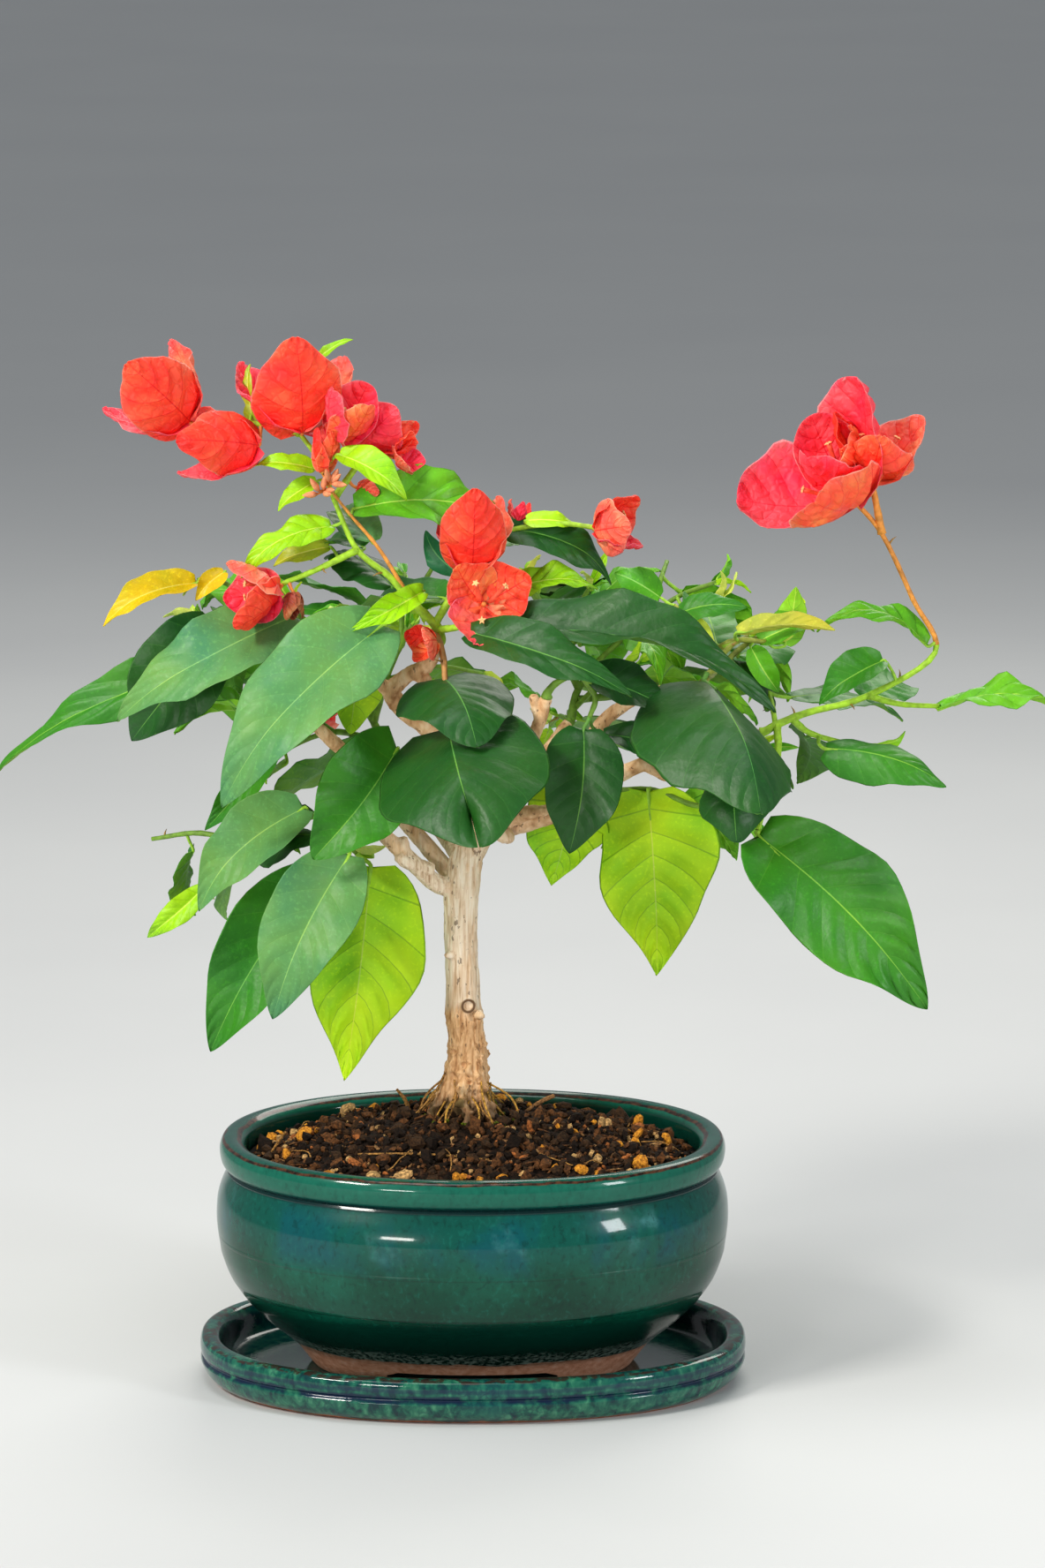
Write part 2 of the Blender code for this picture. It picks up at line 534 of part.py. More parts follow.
class Crown:
    """Keeps every piece that stands, so that a new one is only let in where it is clear."""

    def __init__(self):
        self.standing = []                  # owner, box, tree
        self.pieces = {}                    # owner: list of (verts, faces)
        self.met = None                     # owner of the piece that was last in the way

    def clear(self, owner, piece, own_too=False):
        low, high = box_of(piece)
        tree = None
        for other, (their_low, their_high), their_tree in self.standing:
            if other == owner and not own_too:
                continue
            if any(low[k] > their_high[k] or high[k] < their_low[k] for k in range(3)):
                continue
            tree = tree or tree_of(piece)
            if tree.overlap(their_tree):
                self.met = other
                return False
        return True

    def add(self, owner, piece):
        self.standing.append((owner, box_of(piece), tree_of(piece)))
        self.pieces.setdefault(owner, []).append(piece)


def nearest_on(shoots, point):
    """Closest place on any shoot."""
    best = None
    for course in shoots:
        for a, b in zip(course, course[1:]):
            start, end = Vector(a[:3]), Vector(b[:3])
            t = max(0.0, min(1.0, (point - start).dot(end - start) / (end - start).length_squared))
            spot = start.lerp(end, t)
            if best is None or (spot - point).length < (best - point).length:
                best = spot
    return best


def petiole(shoots, at, reach, face, arch, swell=0.0):
    """Stalk from the nearest shoot to a little way inside the foot of the blade."""
    radius = PETIOLE_R + swell
    return tube([(*nearest_on(shoots, at), radius), (*spine(at, reach, face, arch, 0.09), radius * 0.7)], 3)


def flower_stalk(shoots, at, reach, swell=0.0):
    """Stalk from the nearest shoot that ends in the cup on which the bracts sit."""
    return tube([(*nearest_on(shoots, at), PETIOLE_R + swell), (*at, 1.0 + swell),
                 (*(at + reach * 0.14), 0.9 + swell)], 3)


def shoot_courses(mass):
    """Main shoots of a mass with their radii; the first one starts at the limb's tip."""
    limb = LOW_FORK if mass["tip"] == "low_fork" else BOUGHS[mass["tip"]]
    before, tip = Vector(limb[-2][:3]), Vector(limb[-1][:3])
    along = (tip - before).normalized()
    courses = []
    for number, points in enumerate(mass["shoots"]):
        course = [Vector(p) for p in points]
        if number == 0:
            course = [tip + GAP * along, tip + 2.5 * along] + course
        first = limb[-1][3] if number == 0 else SHOOT_R
        last = SHOOT_END_R
        count = len(course) - 1
        courses.append([(*p, first + (last - first) * min(1.0, 1.4 * i / count))
                        for i, p in enumerate(course)])
    return courses


def within(point, mass):
    """Inside the mass's own space, and behind its chosen leaves."""
    centre, half = mass["space"]
    inside = sum(((point[k] - centre[k]) / half[k]) ** 2 for k in range(3)) < 1.0
    return inside and point[1] > mass.get("front", -1000.0)


def grow_set(crown, name, mass):
    """Shoots, chosen leaves and blossoms of one mass."""
    shoots = shoot_courses(mass)
    for number, course in enumerate(shoots):
        crown.add(name, tube(course, 3 if number else 5))
    rows = [(Vector(row[0]), Vector(row[1]), row[2:6]) for row in mass["leaves"]]
    stalks = [(petiole, (at, reach, shape[1], shape[2])) for at, reach, shape in rows]
    for base, reach, wide, opening, turn, _ in mass["blossoms"]:
        stalks.append((flower_stalk, (Vector(base), Vector(reach))))
        for at, lean, *shape in bracts(base, reach, wide, opening, turn):
            rows.append((at, lean, shape))
    for stalk, course in stalks:
        if not crown.clear(name, stalk(shoots, *course, swell=GAP)):
            print("stalk of", name, "at", tuple(course[0]), "meets", crown.met)
            continue
        crown.add(name, stalk(shoots, *course))
    for at, reach, shape in rows:
        if not crown.clear(name, blade(at, reach, *shape, swell=GAP)):
            print("leaf of", name, "at", tuple(at), "meets", crown.met)
            continue
        crown.add(name, blade(at, reach, *shape))
    return shoots


def places_along(course, spacing):
    """A point on a shoot at every spacing, with the shoot's direction there."""
    points = [Vector(p[:3]) for p in course]
    passed, due = 0.0, 0.7 * spacing
    for start, end in zip(points, points[1:]):
        stretch = (end - start).length
        while due <= passed + stretch:
            yield start.lerp(end, (due - passed) / stretch), (end - start).normalized()
            due += spacing
        passed += stretch


def side_twig(draw, crown, name, mass, shoots):
    """A twig off one of the shoots that heads outward, or None where there is no room."""
    course = draw.choice(shoots)
    at = draw.randrange(len(course) - 1)
    root = Vector(course[at][:3]).lerp(Vector(course[at + 1][:3]), draw.uniform(0.2, 0.95))
    out = (root - HEART).normalized()
    heading = Vector((draw.uniform(-1, 1), draw.uniform(-1, 1), draw.uniform(-0.35, 0.8)))
    way = (out + 1.1 * heading).normalized()
    length = draw.uniform(22.0, 42.0)
    bend = Vector((0, 0, -0.10 * length))
    twig = [(*root, 1.1), (*(root + way * length * 0.5 - bend * 0.4), 1.0),
            (*(root + way * length + bend), 0.8)]
    swollen = [(*p[:3], p[3] + GAP) for p in twig]
    if within(twig[-1][:3], mass) and crown.clear(name, tube(swollen, 3)):
        return twig
    return None


def seeded_leaf(draw, place, way, turn, sizes):
    """Base, reach and shape of a leaf that hangs out to one side of its shoot."""
    out = (place - HEART).normalized()
    flat = way.cross(Vector((0, 0, 1))).normalized() * turn
    lean = (way * draw.uniform(0.1, 0.8) + flat * draw.uniform(0.3, 1.1) + out * draw.uniform(0.0, 0.6)
            + Vector((0, 0, draw.uniform(-0.8, 0.15)))).normalized()
    size = draw.uniform(*sizes)
    face = out * 0.7 + Vector((draw.uniform(-0.3, 0.3), draw.uniform(-0.3, 0.3), 1.0))
    shape = (size * draw.uniform(0.46, 0.58), face, draw.uniform(0.05, 0.12), draw.uniform(-8, 18))
    return place + lean * draw.uniform(5.0, 10.0), lean * size, shape


def grow_rest(crown, name, mass, shoots):
    """Seeded side twigs, and leaves to left and right along every shoot where the space is free."""
    draw = random.Random(mass["seed"])
    twigs = [side_twig(draw, crown, name, mass, shoots) for _ in range(mass["twigs"])]
    for course in [twig for twig in twigs if twig] + shoots:
        stem = tube(course, 3)
        is_twig = course not in shoots
        if is_twig and not crown.clear(name, stem):
            continue
        leaves = 0
        for number, (place, way) in enumerate(places_along(course, LEAF_SPACING)):
            for attempt in range(LEAF_TRIES):
                sizes = [size * 0.92 ** attempt for size in mass.get("sizes", LEAF_SIZES)]
                at, reach, shape = seeded_leaf(draw, place, way, 1 if number % 2 else -1, sizes)
                stalk = (at, reach, shape[1], shape[2])
                if (within(at + reach * 0.5, mass) and within(at + reach, mass)
                        and crown.clear(name, blade(at, reach, *shape, rough=True, swell=GAP), own_too=True)
                        and crown.clear(name, petiole([course], *stalk, swell=GAP))):
                    crown.add(name, petiole([course], *stalk))
                    crown.add(name, blade(at, reach, *shape, rough=True))
                    leaves += 1
                    break
        if is_twig and leaves:
            crown.add(name, stem)


def main():
    remove_objects()
    drip_tray()
    pot()
    soil()
    bark = material("bark", COLOURS["bark"], 0.85)
    leaf = material("leaf", COLOURS["leaf"], 0.5)
    crown = Crown()
    joined("trunk", trunk_pieces(), bark, smooth=True)
    for piece in trunk_pieces():
        crown.add("trunk", piece)
    for name in BOUGHS:
        for piece in bough_pieces(name):
            crown.add(name, piece)
        joined(name, bough_pieces(name), bark, smooth=True)
    shoots = {name: grow_set(crown, name, mass) for name, mass in MASSES.items()}
    for name, mass in MASSES.items():
        grow_rest(crown, name, mass, shoots[name])
        print(name, len(crown.pieces[name]), "pieces")
        joined(name, crown.pieces[name], leaf, solver="MANIFOLD")


main()
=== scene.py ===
import math
import random

import bmesh
import bpy
import numpy as np
from mathutils import Matrix, Vector, noise
from mathutils.bvhtree import BVHTree

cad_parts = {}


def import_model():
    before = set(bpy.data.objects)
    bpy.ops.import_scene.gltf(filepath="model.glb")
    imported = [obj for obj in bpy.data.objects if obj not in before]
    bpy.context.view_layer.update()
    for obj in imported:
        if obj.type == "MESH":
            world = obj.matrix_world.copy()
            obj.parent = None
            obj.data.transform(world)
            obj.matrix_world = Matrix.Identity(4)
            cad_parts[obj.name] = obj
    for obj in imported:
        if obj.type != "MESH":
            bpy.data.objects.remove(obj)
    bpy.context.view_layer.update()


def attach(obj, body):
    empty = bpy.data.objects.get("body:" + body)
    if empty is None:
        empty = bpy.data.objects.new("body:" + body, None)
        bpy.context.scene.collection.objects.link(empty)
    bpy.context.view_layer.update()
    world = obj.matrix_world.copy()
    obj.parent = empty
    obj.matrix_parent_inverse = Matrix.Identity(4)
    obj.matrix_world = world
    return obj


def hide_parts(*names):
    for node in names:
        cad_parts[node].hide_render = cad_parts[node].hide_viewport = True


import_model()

# Looks of the bougainvillea bonsai in its oval glazed pot and drip tray.
# The crown grows by the same seeded rule as the solids: the rule is repeated below with coarse leaves,
# which decide what stands clear, and every leaf, bract, stalk and shoot is then made again in full
# detail.  Sizes are in millimetres in the same frame as the solids; Heap.build turns them into metres.

MM = 0.001
GAP = 0.3                                   # clear space between neighbouring pieces

# ---------------------------------------------------------------- sizes of pot, tray and soil

POT_OVAL = 17.5                             # half length minus half depth
POT_OVAL_GROWTH = 5.5                       # more of it towards the foot
BELLY_FROM_Z = 45.0
POT_POWER = 2.15
FOOT_Z = 5.3
RIM_Z = 88.0
# (half length, height), and True where the profile has a sharp turn
POT_PROFILE = [
    (51.5, 10.8, True), (52.5, FOOT_Z, True), (56.4, FOOT_Z, True), (57.2, 5.9, False), (64.0, 14.9, True),
    (65.6, 15.9, False), (73.4, 22.2, False), (80.0, 29.0, False), (85.4, 36.2, False), (89.2, 45.0, False),
    (91.2, 58.0, False), (90.4, 68.0, False), (87.6, 75.2, False), (86.7, 77.0, True), (88.8, 79.2, False),
    (89.6, 82.0, False), (89.6, 84.8, False), (88.4, 87.2, False), (86.2, RIM_Z, False),
    (83.8, 87.7, False), (81.4, 86.2, False), (80.4, 83.6, False), (81.6, 76.0, False), (84.6, 60.0, False),
    (82.4, 45.0, False), (76.0, 33.0, False), (65.0, 21.4, False), (50.0, 14.4, True),
]
# height, rise, half width of the ridges that the potter's hand left, and the room kept for them
THROWING_RIDGES = ((46.5, 0.35, 1.1), (30.0, 0.28, 1.0), (38.0, 0.12, 1.6), (66.0, 0.12, 2.0))
RIDGED_Z, RIDGE_ROOM = (16.0, 76.0), 0.35
ARCH_HALF = 31.0
ARCH_TOP_Z = 10.4

TRAY_OVAL = 26.5
TRAY_POWER = 2.25
TRAY_FLOOR_Z = FOOT_Z - GAP
TRAY_TOP_Z = 16.5
TRAY_PROFILE = [
    (90.5, 0.0, True), (93.4, 1.8, False), (95.6, 4.2, False), (97.0, 7.4, False), (96.9, 8.4, False),
    (96.2, 9.4, False), (96.9, 10.4, False), (97.2, 11.6, False), (97.2, 13.8, False), (96.6, 15.6, False),
    (95.0, 16.4, False), (93.2, TRAY_TOP_Z, False), (91.4, 16.2, False), (90.0, 14.6, False),
    (88.2, 9.0, False), (86.4, 6.2, False), (82.0, TRAY_FLOOR_Z, True),
]

SOIL_EDGE_HALF = 80.3
SOIL_EDGE_Z = 79.5
SOIL_TOP_Z = 93.1
SOIL_BOTTOM_Z = 14.7
# share of the way to the edge, share of the mound's rise
MOUND = ((0.0, 1.0), (0.24, 1.0), (0.52, 0.78), (0.80, 0.34), (1.0, 0.0))

# ---------------------------------------------------------------- limbs and the masses on them

TRUNK_FOOT = Vector((-2.0, 8.0, 93.4))
FLARE_TOP_Z = 109.0
ROOT_HEADINGS = (205.0, 318.0, 262.0, 85.0, 150.0)
TRUNK = [                                   # x, y, z, radius
    (-2, 8, 109, 7.2), (-2, 8, 117, 6.8), (-3, 8, 130, 6.3), (-4, 8, 156, 5.9), (-4, 8, 173, 6.1),
    (-2, 8, 186, 5.9), (1, 8, 194, 6.2), (4, 8, 201, 6.3), (5, 8, 204.5, 4.6),
]
# Each bough leaves a fork on the trunk: root inside the trunk, end of the fork, then its own course.
BOUGHS = {
    "bough_left_low": [(-4, 8, 175, 3.8), (-13, 5, 178, 3.2),
                       (-20, 2, 185, 2.9), (-29, 0, 194, 2.6), (-36, -3, 202, 2.1)],
    "bough_left": [(-4, 10, 177, 3.8), (-11, 13, 183, 3.2),
                   (-20, 14, 194, 3.0), (-33, 12, 210, 2.8), (-43, 8, 222, 2.5), (-57, 2, 237, 2.0)],
    "bough_top": [(4, 8, 199, 5.2), (2, 9, 208, 4.2),
                  (-6, 8, 219, 3.6), (-15, 4, 233, 3.3), (-25, 2, 241, 3.0), (-28, 1, 247, 3.0),
                  (-23, 0, 253, 2.8), (-16, -2, 257, 2.6), (-12, -4, 265, 2.2)],
    "bough_right": [(4, 8, 199, 5.0), (14, 5, 199, 3.9),
                    (30, 3, 204, 3.4), (41, 1, 211, 3.0), (52, 0, 218, 2.8), (65, 0, 223, 2.6),
                    (83, 0, 226, 2.3), (101, -2, 233, 1.8)],
    "bough_mid": [(4, 8, 199, 4.0), (10, 16, 206, 3.2),
                  (23, 22, 213, 2.9), (37, 24, 220, 2.7), (48, 24, 234, 2.5), (62, 20, 243, 2.2),
                  (78, 14, 247, 1.8)],
    "bough_front": [(4, 8, 199, 3.6), (8, -1, 209, 2.9),
                    (16, -8, 222, 2.6), (23, -13, 237, 2.3), (26, -16, 248, 2.0)],
    "bough_back_left": [(-4, 10, 182, 3.8), (-6, 22, 186, 3.1), (-18, 45, 196, 2.6), (-30, 62, 210, 2.1)],
    "bough_back_right": [(3, 10, 194, 3.8), (6, 24, 198, 3.2), (20, 46, 209, 2.7), (34, 64, 224, 2.1)],
}
LOW_FORK = [(60, 0, 221.5, 2.2), (70, -2, 217, 2.0), (83, -7, 215, 1.6)]   # side limb of bough_right

# Directions that the upper face of a leaf turns to.
FRONT, UP, BACK = (0.0, -1.0, 0.35), (0.0, -0.35, 1.0), (0.1, 1.0, 0.45)
LEFT, FRONT_UP = (-0.8, -0.8, 0.5), (0.0, -0.8, 0.8)

# A mass of foliage: the limb tip it grows on, its shoots (first point on an earlier shoot), its space
# (centre and half sizes of an ellipsoid), how many side twigs the seeded rule tries, and the leaves
# and blossoms that give the crown its look.  The rule sets nothing nearer to the viewer than "front".
# leaf: base, reach to the tip, width, upper face, arch, fold in degrees, tone, changes to LEAF_FORM
# blossom: base, reach of the bracts, width of a bract, opening in degrees, turn in degrees, tone
MASSES = {
    "foliage_left_low": {
        "tip": "bough_left_low", "seed": 11, "space": ((-62, 6, 184), (54, 44, 52)), "twigs": 6,
        "front": 4.0,
        "shoots": [[(-46, -6, 205), (-58, -4, 203), (-74, 2, 195), (-92, 5, 181)],
                   [(-40, -5, 205), (-37, -11, 214), (-31, -14, 226)],
                   [(-52, -5, 204), (-48, 3, 195), (-41, 8, 188)]],
        "leaves": [
            ((-43, -20, 193), (-27, -15, -55), 33, FRONT, .06, 12, "glaucous"),
            ((-53, -8, 184), (-40, -7, -63), 34, FRONT, .05, 14, "mid"),
            ((-36, 8, 183), (-9, -5, -75), 44, BACK, .05, 10, "lime"),
            ((-59, -6, 207), (-38, -15, -31), 27, FRONT_UP, .08, 12, "glaucous"),
            ((-95, 5, 176), (-21, 0, -18), 11, FRONT, .06, 20, "lime"),
            ((-26, -16, 230), (-29, -19, -35), 36, FRONT, .08, 14, "mid"),
        ], "blossoms": [],
    },
    "foliage_left": {
        "tip": "bough_left", "seed": 23, "space": ((-92, 22, 252), (72, 46, 40)), "twigs": 8,
        "front": 4.0,
        "shoots": [[(-64, 5, 246), (-69, 9, 257), (-76, 14, 271), (-86, 15, 283), (-96, 14, 285)],
                   [(-69, 9, 257), (-80, 18, 262), (-96, 26, 268)],
                   [(-64, 5, 246), (-68, 9, 238), (-69, 9, 231)],
                   [(-64, 5, 246), (-56, 12, 254), (-44, 14, 257)]],
        "leaves": [
            ((-62, 2, 274), (-63, -17, -31), 30, FRONT_UP, .10, 10, "glaucous"),
            ((-90, 8, 270), (-31, -4, -41), 34, FRONT, .08, 12, "dark"),
            ((-77, 14, 260), (-95, 6, -41), 19, FRONT_UP, .06, 16, "mid"),
            ((-69, 8, 228), (-26, -4, -31), 15, FRONT, .10, 24, "mid"),
            ((-97, 12, 284), (-33, -6, -13), 14, FRONT_UP, .12, 18, "yellow"),
            ((-87, 12, 288), (-10, -5, -9), 8, FRONT, .06, 12, "yellow"),
            ((-40, 14, 254), (-3, 4, -24), 20, BACK, .08, 10, "lime"),
        ], "blossoms": [],
    },
    "foliage_top": {
        "tip": "bough_top", "seed": 37, "space": ((-20, 14, 288), (56, 38, 36)), "twigs": 7,
        "front": 4.0,
        "shoots": [[(-13, -4, 272), (-21, -4, 280), (-29, -3, 289), (-40, -2, 298), (-47, -1, 313),
                    (-53, -1, 329), (-60, -1, 339)],
                   [(-21, -4, 280), (-32, -3, 298), (-41, -3, 309), (-48, -4, 318), (-52, -7, 326)],
                   [(-13, -4, 272), (-4, 0, 286), (5, 4, 296), (12, 7, 303), (30, 6, 306), (44, 3, 305)],
                   [(-13, -4, 270), (-10, -12, 262), (-9, -19, 252), (-7, -24, 241)],
                   [(-13, -4, 270), (-4, -14, 273), (6, -10, 277), (12, 6, 281)],
                   [(-60, -1, 339), (-72, -1, 342), (-94, 0, 343)],
                   [(-48, -1, 316), (-40, 3, 327), (-34, 4, 334)],
                   [(-40, -2, 298), (-53, -5, 292), (-66, -8, 287)]],
        "leaves": [
            ((-31, -12, 273), (-57, -33, -53), 42, FRONT_UP, .09, 16, "glaucous"),
            ((-41, 0, 312), (57, 15, -10), 24, FRONT_UP, .22, 10, "fresh"),
            ((-46, -12, 333), (24, -8, -13), 13, FRONT_UP, .16, 12, "lime"),
            ((-55, -4, 327), (-20, -2, 3), 9, FRONT_UP, .10, 16, "lime"),
            ((-54, 0, 322), (-14, -4, -9), 9, FRONT_UP, .10, 16, "lime"),
            ((-49, 0, 306), (-32, -8, -15), 14, FRONT_UP, .16, 14, "lime"),
            ((-50, 5, 298), (-20, 0, -6), 10, FRONT_UP, .10, 14, "olive"),
            ((-17, -6, 284), (-26, -13, -12), 13, FRONT, .10, 26, "lime"),
            ((-54, 4, 364), (12, 0, 8), 4, FRONT_UP, .12, 14, "lime"),
            ((-77, 6, 346), (-1, 2, 16), 6, LEFT, .08, 16, "olive"),
            ((-74, 6, 336), (-4, 0, 15), 7, LEFT, .08, 16, "olive"),
            ((-5, 4, 289), (-12, 4, 14), 10, LEFT, .08, 12, "teal"),
            ((-1, -20, 272), (56, -25, -15), 20, FRONT_UP, .08, 14, "dark"),
            ((-8, -24, 239), (9, -59, -24), 62, (-.25, -.35, 1), .10, -24, "dark",
             {"notch": 0.30, "sag": 0.30, "puff": 0.005, "wave": 0.016,
              "deepen": 0.6}),
            ((-10, -15, 255), (12, -36, -14), 42, UP, .10, -8, "dark"),
            ((13, 8, 282), (31, 0, 3), 12, FRONT_UP, .14, 10, "lime"),
            ((11, 8, 304), (40, 4, -18), 17, FRONT_UP, .14, 12, "dark"),
            ((12, -12, 272), (94, -22, -15), 34, (0, -.6, 1), .07, 26, "dark"),
            ((19, 7, 307), (18, 2, -2), 8, FRONT_UP, .14, 12, "lime"),
            ((-38, 4, 298), (-20, 24, -6), 22, UP, .12, 8, "mid"),
            ((-10, 4, 280), (-30, 30, -12), 26, UP, .12, 8, "mid"),
        ],
        "blossoms": [
            ((-98, -2, 343), (-28, 4, 23), 28, 38, 66, "coral"),
            ((-74, -4, 335), (-33, -5, 1), 22, 24, 60, "coral"),
            ((-59, -2, 339), (-6, 9, 38), 32, 38, 233, "coral"),
            ((-46, -6, 337), (8, -6, 20), 17, 22, 30, "pink"),
            ((-40, 4, 333), (17, 3, 17), 25, 28, 0, "coral"),
            ((-26, 0, 330), (9, -5, 4), 13, 40, 30, "coral"),
            ((-51, -8, 327), (1, -3, 17), 10, 10, 30, "orange"),
            ((-40, 4, 319), (9, 0, -2), 8, 20, 0, "coral"),
            ((0, -7, 292), (-1, 5, 31), 24, 26, 233, "coral"),
            ((4, -12, 280), (3, -18, 9), 23, 60, 32, "orange"),
            ((-13, -10, 267), (-9, -7, -1), 13, 36, 60, "orange"),
            ((-67, -8, 285), (-22, -6, -3), 22, 30, 0, "coral"),
            ((-62, -9, 284), (0, -3, -10), 8, 18, 0, "dry"),
            ((15, 10, 304), (3, 3, 10), 6, 18, 0, "coral"),
            ((43, 3, 304), (19, -3, 4), 21, 32, 0, "coral"),
        ],
    },
    "foliage_front": {
        "tip": "bough_front", "seed": 41, "space": ((36, -12, 254), (44, 34, 30)), "twigs": 3,
        "front": -14.0,
        "shoots": [[(30, -18, 254), (38, -17, 257), (50, -12, 257)],
                   [(38, -17, 257), (43, -19, 249), (41, -21, 242)]],
        "leaves": [
            ((39, -22, 238), (-5, -10, -42), 30, FRONT, .08, 10, "dark"),
            ((41, -13, 256), (30, -5, -12), 18, FRONT_UP, .08, 12, "dark"),
            ((46, -10, 234), (32, -6, -8), 13, FRONT_UP, .12, 12, "dark"),
        ], "blossoms": [],
    },
    "foliage_mid": {
        "tip": "bough_mid", "seed": 53, "space": ((72, 22, 260), (54, 42, 36)), "twigs": 9,
        "front": 4.0,
        "shoots": [[(84, 9, 253), (85, 6, 261), (80, 5, 269), (71, 6, 277)],
                   [(85, 6, 261), (93, 4, 265), (103, 6, 264)],
                   [(84, 9, 252), (85, -2, 255), (82, -12, 256)]],
        "leaves": [
            ((81, -15, 254), (20, -66, -27), 68, (.30, -.35, 1), .10, -22, "dark",
             {"deepen": 1.4, "wave": 0.03, "drawn": 0.7}),
            ((70, 5, 273), (26, -5, 5), 12, FRONT_UP, .14, 10, "mid"),
            ((66, 12, 279), (-16, 5, 8), 13, FRONT, .10, 14, "fresh"),
            ((101, 8, 264), (20, 0, 8), 13, FRONT_UP, .10, 14, "fresh"),
            ((93, -3, 269), (34, -2, 2), 9, BACK, .06, 16, "olive"),
            ((72, 4, 272), (14, -6, -11), 12, FRONT, .08, 10, "young"),
            ((98, 6, 262), (10, 0, -16), 11, FRONT, .08, 18, "fresh"),
            ((110, 12, 262), (4, 4, 20), 12, BACK, .08, 10, "fresh"),
        ], "blossoms": [],
    },
    "foliage_right": {
        "tip": "bough_right", "seed": 67, "space": ((128, 16, 238), (52, 48, 40)), "twigs": 9,
        "front": 4.0,
        "shoots": [[(107, -2, 236), (118, 0, 240), (139, 0, 246), (162, -4, 262), (154, -4, 281),
                    (143, -4, 304), (132, -4, 317)],
                   [(143, -4, 304), (139, -5, 324)],
                   [(139, 0, 246), (150, 0, 243), (164, 1, 242)],
                   [(107, -2, 236), (107, -9, 226), (103, -16, 212), (100, -20, 202)],
                   [(112, -1, 238), (120, 6, 231), (138, 8, 226)]],
        "leaves": [
            ((124, -5, 228), (42, -10, -10), 20, FRONT_UP, .12, -14, "mid"),
            ((100, -20, 200), (59, -20, -57), 41, FRONT, .07, 8, "mid",
             {"puff": 0.020, "wave": 0.052, "vein": 0.16, "uneven": 0.08}),
            ((159, -6, 265), (-38, 4, 7), 14, UP, .22, 10, "fresh"),
            ((144, -3, 259), (-23, -8, -12), 16, FRONT_UP, .14, 14, "mid"),
            ((164, 1, 241), (50, 4, -4), 15, UP, .16, 14, "fresh"),
        ],
        "blossoms": [
            ((133, -4, 316), (-27, -19, 28), 36, 48, -10, "pink"),
            ((130, -6, 321), (-9, -10, 24), 21, 26, 60, "pink"),
            ((139, -7, 324), (5, -6, 27), 28, 36, -12, "orange"),
        ],
    },
    "foliage_right_low": {
        "tip": "low_fork", "seed": 71, "space": ((70, 24, 200), (46, 40, 38)), "twigs": 5,
        "front": 4.0,
        "shoots": [[(86, -8, 214), (88, -3, 208), (78, 4, 206), (64, 7, 211), (50, 11, 210), (36, 14, 208)]],
        "leaves": [
            ((62, 4, 211), (4, -8, -64), 45, BACK, .05, 10, "lime"),
            ((34, 14, 207), (-6, 4, -32), 31, BACK, .06, 10, "lime"),
            ((74, 12, 208), (20, 6, -24), 22, BACK, .06, 10, "fresh"),
            ((92, -22, 222), (0, -16, -19), 25, UP, .08, -10, "dark"),
        ], "blossoms": [],
    },
    "foliage_back_left": {
        "tip": "bough_back_left", "seed": 83, "space": ((-52, 66, 232), (78, 56, 60)), "twigs": 22,
        "sizes": (44.0, 74.0),
        "shoots": [[(-36, 68, 224), (-46, 72, 240), (-60, 74, 252), (-78, 74, 258)],
                   [(-36, 68, 224), (-30, 62, 244), (-22, 54, 262)],
                   [(-34, 66, 217), (-52, 80, 218), (-74, 86, 208)]],
        "leaves": [], "blossoms": [((-56, 88, 222), (-4, 19, 6), 22, 34, 40, "coral")],
    },
    "foliage_back_right": {
        "tip": "bough_back_right", "seed": 97, "space": ((62, 70, 238), (80, 54, 58)), "twigs": 22,
        "sizes": (44.0, 74.0),
        "shoots": [[(38, 70, 236), (50, 74, 250), (68, 72, 262), (88, 66, 268)],
                   [(38, 70, 236), (28, 62, 256), (22, 54, 274)],
                   [(37, 69, 232), (58, 84, 230), (82, 88, 220), (104, 80, 212)]],
        "leaves": [], "blossoms": [((84, 95, 216), (2, 19, -3), 22, 34, 10, "coral")],
    },
}

PETIOLE_R = 0.75
SHOOT_R = 1.5
SHOOT_END_R = 0.9
BASE_WIDTH, TIP_WIDTH = 0.5, 0.85           # exponents of the leaf outline
STATIONS = ((60.0, (0.07, 0.3, 0.6, 0.85)), (37.0, (0.12, 0.45, 0.8)), (0.0, (0.22, 0.68)))

HEART = Vector((5.0, 12.0, 205.0))          # the crown spreads away from here
LEAF_SPACING = 13.0                         # between the leaves that the seeded rule sets on a shoot
LEAF_SIZES = (32.0, 56.0)
LEAF_TRIES = 4                              # for each place, each a little smaller, before it stays bare

BRACT_TRIO = ((0.0, 1.0, 1.0), (9.0, 1.16, 0.94), (-7.0, 0.9, 0.9))   # swing, spread, size of each

# ---------------------------------------------------------------- materials

